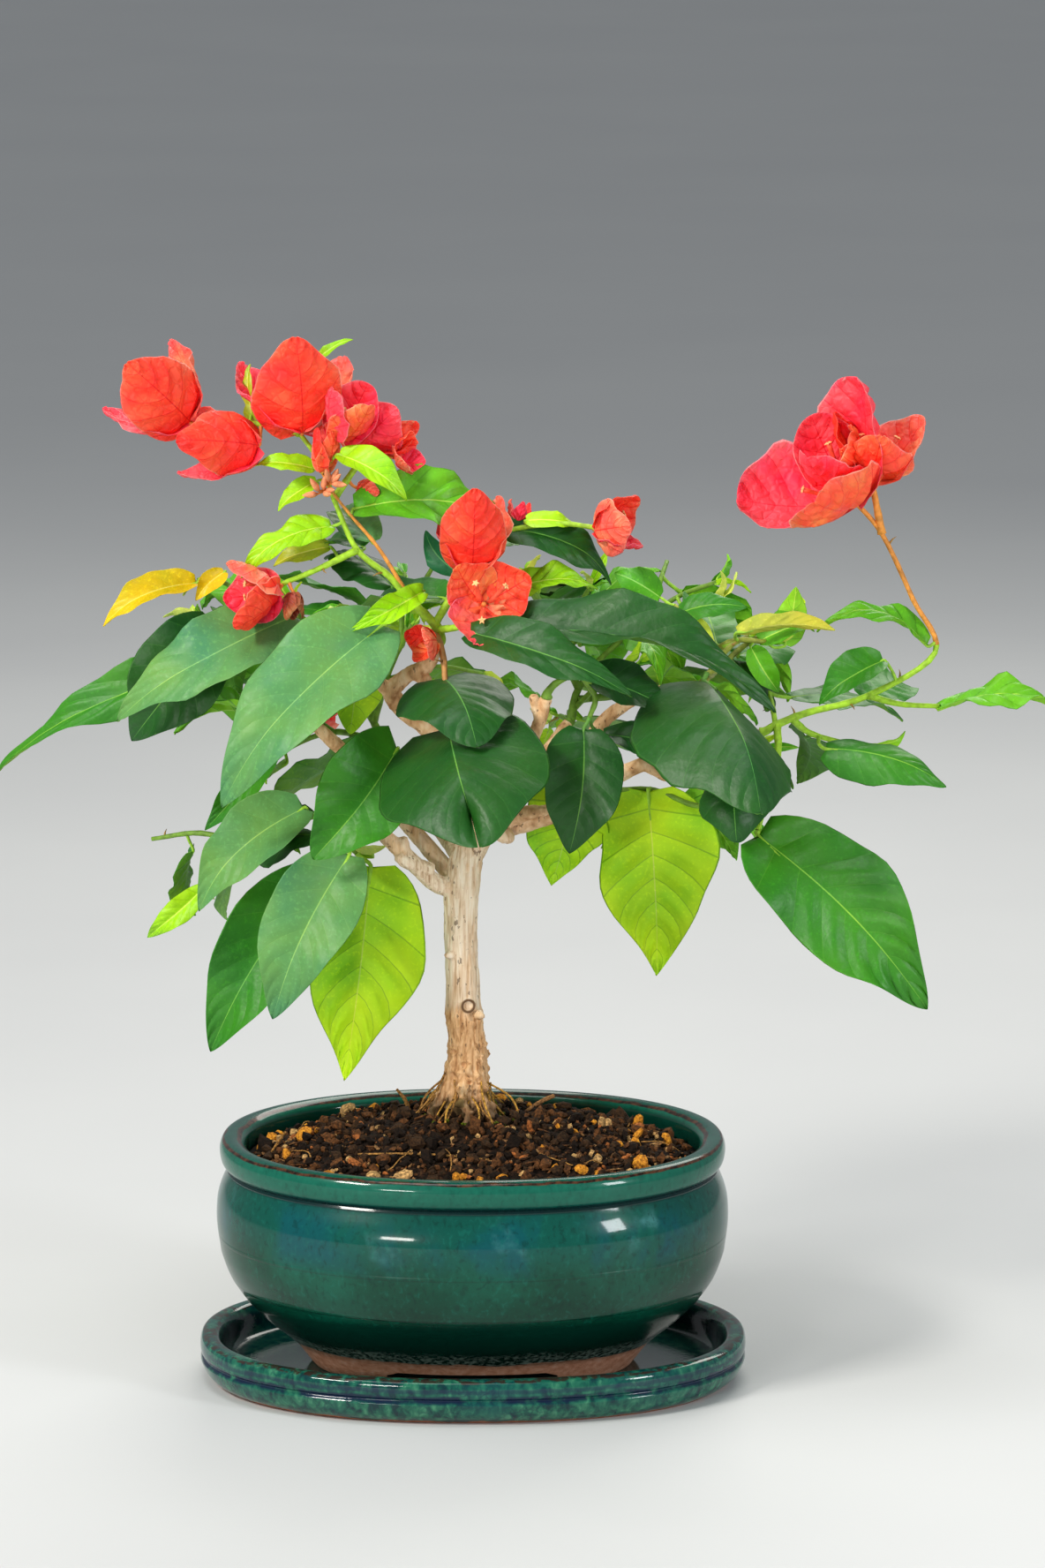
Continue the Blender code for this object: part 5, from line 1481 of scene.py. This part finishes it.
class Pattern:
    """Grid of a leaf: its rows slant along the side veins and its columns run from rim to rim.

    A place on it is a share along the midrib and a share across, each with an offset that carries the
    half width of a vein.
    """

    def __init__(self, veins, across, slant):
        self.slant = slant
        first, last = 0.095, 0.86
        self.step = (last - first) / (veins - 1)
        self.first = first
        rows = [(0.012, 0), (0.028, 0), (0.048, 0), (0.070, 0)]
        for k in range(veins):
            at = first + k * self.step
            rows += [(at - self.step * 0.67, 0), (at - self.step * 0.33, 0)] if k else []
            rows += [(at, -1), (at, 1)]
        rows += [(0.90, 0), (0.945, 0), (0.98, 0)]
        half = [(0.0, 1)] + [(u, 0) for u in across] + [(0.972, 0), (1.0, 0)]
        columns = [(-u, -off) for u, off in reversed(half)] + half
        self.t = np.array([row[0] for row in rows])[:, None]
        self.t_off = np.array([row[1] for row in rows])[:, None]
        self.u = np.array([column[0] for column in columns])[None, :]
        self.u_off = np.array([column[1] for column in columns])[None, :]
        self.groups = self.faces(rows, columns)

    def faces(self, rows, columns):
        """Faces by kind: upper and under side, raised side veins, and the midrib with the rim."""
        height, width = len(rows), len(columns)
        top = np.arange(height * width).reshape(height, width)
        under = np.empty_like(top)
        under[:, 1:-1] = height * width + np.arange(height * (width - 2)).reshape(height, width - 2)
        under[:, 0], under[:, -1] = top[:, 0], top[:, -1]
        base = height * width + height * (width - 2)
        kinds = {"upper": [], "under": [], "vein": [], "rib": [], "rim": []}
        for r in range(height - 1):
            vein_row = rows[r][1] == -1
            for c in range(width - 1):
                mark = ("rim" if c in (0, width - 2) else "rib" if c == width // 2 - 1
                        else "vein" if vein_row else None)
                quad = (top[r, c], top[r + 1, c], top[r + 1, c + 1], top[r, c + 1])
                kinds[mark or "upper"].append(quad)
                quad = (under[r, c], under[r, c + 1], under[r + 1, c + 1], under[r + 1, c])
                kinds[mark or "under"].append(quad)
        fans = {"upper": [], "under": []}
        for c in range(width - 1):
            fans["upper"] += [(base, top[0, c], top[0, c + 1]),
                              (base + 1, top[-1, c + 1], top[-1, c])]
            fans["under"] += [(base, under[0, c + 1], under[0, c]),
                              (base + 1, under[-1, c], under[-1, c + 1])]
        return ([(np.array(rows), kind) for kind, rows in kinds.items()]
                + [(np.array(rows), kind) for kind, rows in fans.items()])


LARGE_LEAF = Pattern(7, (0.18, 0.42, 0.66, 0.86), 2.0)
SMALL_LEAF = Pattern(4, (0.30, 0.66), 2.0)
BRACT = Pattern(5, (0.16, 0.36, 0.58, 0.80), 2.3)

# Form of a blade: outline exponents, heart-shaped base, curl of the rims, height of the waves and how
# many there are, puffs between the veins, thickness, half width of midrib and side vein, sideways
# bend, how much the tip is drawn out, how far it hangs down at most, uneven width, how differently the
# rims of two leaves roll, depth of a notch at the tip, sag of the rims, and how much deeper it folds.
LEAF_FORM = {"base": BASE_WIDTH, "tip": TIP_WIDTH, "heart": 0.05, "curl": -0.16, "wave": 0.036, "waves": 1.6,
             "puff": 0.0080, "thick": 0.5, "midrib": 0.25, "vein": 0.13, "bend": 0.05, "drawn": 0.42,
             "droop": 0.16, "uneven": 0.05, "roll": 0.9, "notch": 0.0, "sag": 0.0, "deepen": 1.6}
BRACT_FORM = {"base": 0.42, "tip": 0.66, "heart": 0.09, "curl": 0.26, "wave": 0.036, "waves": 1.8,
              "puff": 0.0340, "thick": 0.3, "midrib": 0.24, "vein": 0.12, "bend": 0.02, "drawn": 0.74,
              "droop": 0.02, "uneven": 0.04, "roll": 0.3, "notch": 0.0, "sag": 0.0, "deepen": 1.0}


def blade_points(pattern, at, reach, wide, face, arch, fold, form, draw):
    """Points of a detailed blade: upper grid, inner columns of the under grid, base and tip."""
    length = reach.length
    along = np.array(reach.normalized())
    up = np.array(upper_side(reach, face))
    side = np.cross(up, along)
    t = np.clip(pattern.t + pattern.t_off * form["vein"] / length, 0.004, 0.996)
    u = pattern.u + pattern.u_off * min(0.12, 2 * form["midrib"] / wide)
    reach_out = np.abs(u)
    s = t + (1 - (1 - t) ** pattern.slant - t) * reach_out ** 1.15
    half = wide / 2 * outline(s, form["base"], form["tip"])
    half = half * (1 - form["drawn"] * np.clip((s - 0.66) / 0.34, 0, 1) ** 1.5 * (1 - s) * 4)
    phases = [draw.uniform(0, 6.28) for _ in range(4)]
    phase, other = (np.where(u < 0, phases[k], phases[k + 1]) for k in (0, 2))
    half = half * (1 + form["uneven"] * np.sin(9.0 * s + other) * np.sin(np.pi * np.clip(s, 0, 1)))
    y = u * half * (1 + 0.06 * draw.uniform(-1, 1) * np.sign(u))
    x = s * length - form["heart"] * length * reach_out ** 1.7 * (1 - s) ** 6
    lean = math.radians(fold * form["deepen"])
    z = arch * length * 4 * s * (1 - s) + np.abs(y) * math.sin(lean)
    z = z + (form["curl"] + draw.uniform(-0.5, 0.5) * form["roll"]) * np.abs(y) * (reach_out - 0.5)
    belly = np.sin(np.pi * np.clip(s, 0, 1)) ** 0.5
    pace = form["waves"] * draw.uniform(0.8, 1.25)
    swing = np.sin(2 * np.pi * pace * s + phase) + 0.45 * np.sin(4.6 * np.pi * pace * s + other)
    z = z + form["wave"] * length * reach_out ** 2 * swing * belly
    z = z + draw.uniform(-0.42, 0.42) * y * (s - 0.45)
    z = z - form["sag"] * np.abs(y) * np.clip(s * 1.6, 0, 1) * reach_out
    between = np.cos(2 * np.pi * (t - pattern.first) / pattern.step)
    z = z - form["puff"] * length * (1 - (1 - 2 * reach_out) ** 2) * between
    z = z - 0.35 * form["midrib"] * (reach_out < 0.2)
    x = x - form["notch"] * length * (1 - reach_out) ** 2 * np.clip((s - 0.55) / 0.45, 0, 1) ** 1.5
    y = y * math.cos(lean)
    y = y + form["bend"] * length * draw.uniform(-1, 1) * np.sin(np.pi * s)
    droop = draw.uniform(0.2, 1.0) * form["droop"] * length
    z = z - droop * np.clip((s - 0.60) / 0.40, 0, 1) ** 2
    origin = np.array(at)

    def world(px, py, pz):
        return (origin + px[..., None] * along + py[..., None] * side + pz[..., None] * up).reshape(-1, 3)

    thick = form["thick"] * (1 - 0.75 * reach_out ** 3)
    swell = form["midrib"] * 0.9 * (reach_out < 0.2) + 0.12 * np.abs(pattern.t_off) * (reach_out < 0.9)
    lower = z - thick - swell
    ends = np.array([origin - up * 0.4 * form["thick"],
                     origin + along * length * (1 - form["notch"]) - up * (droop + 0.4 * form["thick"])])
    inner = slice(1, -1)
    return np.vstack([world(x, y, z), world(x[:, inner], y[:, inner], lower[:, inner]), ends])


def add_blade(heap, pattern, names, at, reach, wide, face, arch, fold, form, draw):
    verts = blade_points(pattern, at, reach, wide, face, arch, fold, form, draw)
    heap.add(verts, [(rows, names[kind]) for rows, kind in pattern.groups])


def leaf_names(tone):
    names = {kind: tone + "_" + kind for kind in ("upper", "under", "vein", "rib")}
    return {**names, "rim": tone + "_vein"}


def bract_names(tone):
    return {"upper": tone + "_bract", "under": tone + "_bract", "vein": tone + "_bract_vein",
            "rib": tone + "_bract_vein", "rim": tone + "_bract_rim"}


def add_leaf(heap, at, reach, shape, tone, draw, change=()):
    """A leaf; a wide one is heart-shaped and wavier, a small one has fewer faces."""
    wide, face, arch, fold = shape
    length = reach.length
    form = dict(LEAF_FORM)
    if wide / length > 0.7:
        form.update(heart=0.13, wave=0.044, base=0.42, tip=0.72)
    if length < 24:
        form.update(thick=0.35, midrib=0.26, vein=0.08, bend=0.08)
    if tone in YOUNG_TONES and length > 30:
        form.update(puff=0.022, tip=1.0, wave=0.062, vein=0.2, uneven=0.10)
    form.update(change)
    pattern = LARGE_LEAF if length > 26 else SMALL_LEAF
    add_blade(heap, pattern, leaf_names(tone), at, reach, wide, face, arch, fold, form, draw)


def add_petiole(heap, shoots, at, reach, face, arch, tone):
    """Curved stalk from the shoot to the foot of the blade, along which it fades."""
    root = nearest_on(shoots, at)
    length = reach.length
    thick = 0.45 + 0.006 * length
    ahead = reach.normalized()
    span = (at - root).length
    middle = root.lerp(at, 0.5) - ahead * 0.10 * span + Vector((0, 0, -0.06 * span))
    under = -upper_side(reach, face) * 0.5
    stations = [(*root, thick * 1.35), (*root.lerp(middle, 0.4), thick * 1.02), (*middle, thick)]
    stations += [(*(at - ahead * 0.5 + under * 0.6), thick * 0.95)]
    stations += [(*(spine(at, reach, face, arch, s) + under), thick * (0.85 - 2.2 * s)) for s in (0.06, 0.16)]
    add_limb(heap, smooth(stations, 3), 6, tone)


def add_flower_tube(heap, at, way, length, draw):
    """Slender flower with a swollen foot and a small five-pointed star."""
    side = way.orthogonal().normalized()
    course = [(*at, 0.5), (*(at + way * length * 0.25), 1.1), (*(at + way * length * 0.6 + side * 0.5), 0.75),
              (*(at + way * length + side * 0.9), 0.95)]
    add_limb(heap, smooth(course, 3), 8, "flower_tube")
    top = at + way * length + side * 0.9
    other = way.cross(side)
    for k in range(5):
        angle = 2 * math.pi * (k + draw.random() * 0.2) / 5
        out = side * math.cos(angle) + other * math.sin(angle)
        add_limb(heap, [(*(top - out * 0.2), 0.4), (*(top + out * 0.8 + way * 0.5), 0.42),
                        (*(top + out * 1.5 + way * 0.4), 0.1)], 5, "flower_star")


BRACT_MIX = {"coral": ("coral", "light", "pink"), "pink": ("pink", "pink", "orange"),
             "orange": ("light", "coral", "orange")}
PINK_FORM = {"tip": 0.46, "drawn": 0.42, "curl": 0.5}         # pink bracts are rounder


def add_blossom(heap, stems, shoots, blossom, draw):
    """Three papery bracts on a stalk, with the flowers they hold where they stand open."""
    base, reach, wide, opening, turn, tone = blossom
    rounder, wider = (PINK_FORM, 1.16) if tone == "pink" else ({}, 1.04)
    base, reach = Vector(base), Vector(reach)
    root = nearest_on(shoots, base)
    bow = Vector((0, 0, -0.12)) * (base - root).length
    add_limb(stems, smooth([(*root, 0.85), (*(root.lerp(base, 0.5) + bow), 0.58), (*base, 0.68),
                            (*(base + reach * 0.10), 0.9)], 4), 7, "flower_stalk")
    tones = BRACT_MIX.get(tone, (tone,) * 3)
    for own_tone, (at, lean, own_wide, *shape) in zip(tones, bracts(base, reach, wide, opening, turn)):
        form = {**BRACT_FORM, **rounder}
        form["wave"] *= draw.uniform(0.7, 1.4)
        add_blade(heap, BRACT, bract_names(own_tone), at, lean, own_wide * wider, *shape, form, draw)
        if opening > 20 and reach.length > 16:
            way = (lean.normalized() + reach.normalized() * 0.8).normalized()
            add_flower_tube(heap, at + lean * 0.10, way, min(14.0, lean.length * 0.48), draw)


# ---------------------------------------------------------------- twigs in detail

SHOOT_TONES = {"foliage_top": "stem_lime", "foliage_right": "stem_lime", "foliage_mid": "stem_olive"}
WOODY = {("foliage_top", 1): "stem_orange", ("foliage_top", 3): "stem_tan"}
BLOSSOM_SHOOT_FROM = 262.0                  # above this height the right shoot has turned orange


def add_shoot(heap, course, tone, sides=8, slim=1.0):
    """A shoot with small swellings at its nodes; the tall right one turns orange above its knee."""
    line = smooth(course, 6)
    steps = np.concatenate([[0], np.cumsum(np.linalg.norm(np.diff(line[:, :3], axis=0), axis=1))])
    line[:, 3] *= slim * 0.94 + 0.14 * np.cos(2 * np.pi * steps / LEAF_SPACING) ** 8
    knee = len(line)
    if tone == "stem_lime" and course[0][0] > 90:
        knee = next((i for i, row in enumerate(line) if row[2] > BLOSSOM_SHOOT_FROM), knee)
    if knee > 1:
        add_limb(heap, line[:knee + 1], sides, tone)
    if knee < len(line) - 1:
        add_limb(heap, line[knee:], sides, "stem_orange")
    return [tuple(row) for row in line]


BUD_CLUSTERS = ((-53.0, -5.0, 318.0), (-49.0, -6.0, 322.0), (6.0, -8.0, 277.0))
BUD_REACH = 14                              # a cluster farther from its shoot than this is left out


def add_buds(stems, buds, shoots, draw):
    """Unopened flowers at a node, each on a short thin stalk."""
    for cluster in BUD_CLUSTERS:
        place = Vector(cluster)
        root = nearest_on(shoots, place)
        if (place - root).length > BUD_REACH:
            continue
        for _ in range(5):
            way = Vector((draw.uniform(-0.8, 0.8), draw.uniform(-1.0, -0.1), draw.uniform(-0.1, 1.0)))
            way.normalize()
            foot = root.lerp(place, draw.uniform(0.5, 0.9)) + way * 1.5
            size = draw.uniform(5.0, 8.5)
            add_limb(stems, [(*root, 0.45), (*foot, 0.38), (*(foot + way * 0.5), 0.5)], 6, "flower_stalk")
            add_limb(buds, smooth([(*foot, 0.5), (*(foot + way * size * 0.3), 1.15),
                                   (*(foot + way * size * 0.7), 0.9), (*(foot + way * size), 0.15)], 4), 8,
                     "bud")


THORN_SHARE = 0.35                          # of the places on a shoot that carry one


def add_thorn(heap, place, way, draw):
    length = draw.uniform(3.5, 6.5)
    out = (way.orthogonal().normalized() * draw.choice((1, -1)) + way * 0.5
           + Vector((draw.uniform(-0.5, 0.5), draw.uniform(-0.5, 0.5), 0.2))).normalized()
    add_limb(heap, [(*place, 0.55), (*(place + out * length * 0.6), 0.3),
                    (*(place + out * length - way * 0.5), 0.07)], 5, "thorn")


def young_leaves(crown, growth, course, line, leaves, stems, draw):
    """A tuft of small leaves at a shoot's end."""
    tip, before = Vector(line[-1][:3]), Vector(line[-3][:3])
    way = (tip - before).normalized()
    across = way.orthogonal().normalized()
    for number in range(4):
        angle = number * 2.4 + draw.random()
        out = Matrix.Rotation(angle, 3, way) @ across
        lean = (way * draw.uniform(0.6, 1.2) + out * draw.uniform(0.4, 0.9)).normalized()
        size = draw.uniform(8.0, 15.0)
        face = (way - lean * 0.3 + Vector((0, 0, 0.4))).normalized()
        shape = (size * draw.uniform(0.36, 0.5), face, draw.uniform(0.03, 0.12), draw.uniform(10, 32))
        at = tip + lean * draw.uniform(1.0, 2.5) - way * number * 1.2
        if within(at + lean * size, growth.mass) and crown.clear(
                growth.name, blade(at, lean * size, *shape, rough=True, swell=GAP), own_too=True):
            crown.add(growth.name, blade(at, lean * size, *shape, rough=True))
            tone = draw.choice(("young", "lime", "fresh", "lime"))
            add_leaf(leaves, at, lean * size, shape, tone, draw)
            add_petiole(stems, [course], at, lean * size, face, shape[2], "petiole")


def make_foliage(materials):
    """Every mass in detail: its leaves, its twigs and its blossoms are each one piece."""
    crown, growths = grow_crown()
    for growth in growths:
        draw = random.Random(growth.mass["seed"] * 7)
        leaves, stems, blossoms = Heap(), Heap(), Heap()
        tone = SHOOT_TONES.get(growth.name, "stem_green")
        lines = {}
        for number, course in enumerate(growth.shoots):
            kind = WOODY.get((growth.name, number), tone)
            slim = 0.55 if kind == "stem_orange" else 1.0
            lines[id(course)] = add_shoot(stems, course, kind, slim=slim)
        for course in growth.twigs:
            lines[id(course)] = add_shoot(stems, course, tone, 7)
        for at, reach, shape, leaf_tone, courses, *change in growth.leaves:
            fine = [lines[id(course)] for course in courses]
            add_leaf(leaves, at, reach, shape, leaf_tone, draw, *change)
            stalk = "petiole_dark" if leaf_tone in ("dark", "teal") else "petiole"
            add_petiole(stems, fine, at, reach, shape[1], shape[2], stalk)
        if growth.name == "foliage_top":
            add_buds(stems, blossoms, growth.shoots, draw)
        for blossom in growth.blossoms:
            add_blossom(blossoms, stems, list(lines.values())[:len(growth.shoots)], blossom, draw)
        for course in growth.shoots + growth.twigs:
            line = lines[id(course)]
            young_leaves(crown, growth, line, line, leaves, stems, draw)
            for place, way in places_along(line, LEAF_SPACING * 1.5):
                if draw.random() < THORN_SHARE:
                    add_thorn(stems, place, way, draw)
        for kind, heap in (("leaves", leaves), ("twigs", stems), ("blossoms", blossoms)):
            if heap.count:
                piece = heap.build(growth.name.replace("foliage", kind), materials)
                placed(piece, "foliage", growth.name)


# ---------------------------------------------------------------- floor, light and camera

VIEW_DISTANCE = 2.5                         # metres from the camera to the middle of the view
VIEW_PITCH = math.radians(11.0)             # how far the camera looks down
VIEW_MIDDLE = Vector((0.0177, 0.0, 0.2144))
LENS_MM, SENSOR_MM = 163.3, 36.0
# name, place, size, power in watts, warmth as a screen colour
SOFTBOXES = (
    ("softbox_left", (-1.00, -0.90, 1.15), (0.40, 0.26), 21.0, (255, 250, 242)),
    ("softbox_right", (1.15, -0.85, 0.60), (0.24, 0.36), 8.0, (250, 252, 255)),
    ("softbox_low", (-0.62, -1.45, 0.42), (0.34, 0.13), 6.0, (255, 252, 246)),
    ("softbox_back", (0.35, 1.10, 1.15), (0.9, 0.7), 10.0, (255, 252, 244)),
    ("softbox_top", (-0.2, -0.2, 1.7), (0.7, 0.7), 9.0, (255, 255, 255)),
)
SOFTBOXES_AIM = Vector((0.0, 0.0, 0.15))
SKY, SKY_STRENGTH = (222, 226, 230), 0.40
FLOOR_HALF = 40.0                           # metres


def aim(item, target):
    item.rotation_euler = (target - item.location).to_track_quat("-Z", "Y").to_euler()


def make_stage(materials):
    scene = bpy.context.scene
    mesh = bpy.data.meshes.new("floor")
    corners = [(x * FLOOR_HALF, y * FLOOR_HALF, 0) for x, y in ((-1, -1), (1, -1), (1, 1), (-1, 1))]
    mesh.from_pydata(corners, [], [(0, 1, 2, 3)])
    mesh.materials.append(materials["floor"])
    floor = bpy.data.objects.new("floor", mesh)
    scene.collection.objects.link(floor)
    for name, place, size, power, warmth in SOFTBOXES:
        data = bpy.data.lights.new(name, "AREA")
        data.shape = "RECTANGLE"
        data.size, data.size_y = size
        data.energy = power
        data.color = linear(warmth)[:3]
        light = bpy.data.objects.new(name, data)
        light.location = place
        aim(light, SOFTBOXES_AIM)
        scene.collection.objects.link(light)
    world = bpy.data.worlds.new("studio")
    world.use_nodes = True
    sky = world.node_tree.nodes["Background"]
    sky.inputs["Color"].default_value = linear(SKY)
    sky.inputs["Strength"].default_value = SKY_STRENGTH
    scene.world = world
    scene.view_settings.view_transform = "Standard"


def make_camera():
    data = bpy.data.cameras.new("camera")
    data.lens, data.sensor_width = LENS_MM, SENSOR_MM
    data.clip_end = 50.0
    camera = bpy.data.objects.new("camera", data)
    back = Vector((0.0, -math.cos(VIEW_PITCH), math.sin(VIEW_PITCH)))
    camera.location = VIEW_MIDDLE + back * VIEW_DISTANCE
    aim(camera, VIEW_MIDDLE)
    bpy.context.scene.collection.objects.link(camera)
    bpy.context.scene.camera = camera


def main():
    materials = make_materials()
    make_camera()
    make_stage(materials)
    for make in (make_tray, make_pot, make_ground, make_crumbs, make_bark, make_foliage):
        make(materials)


main()
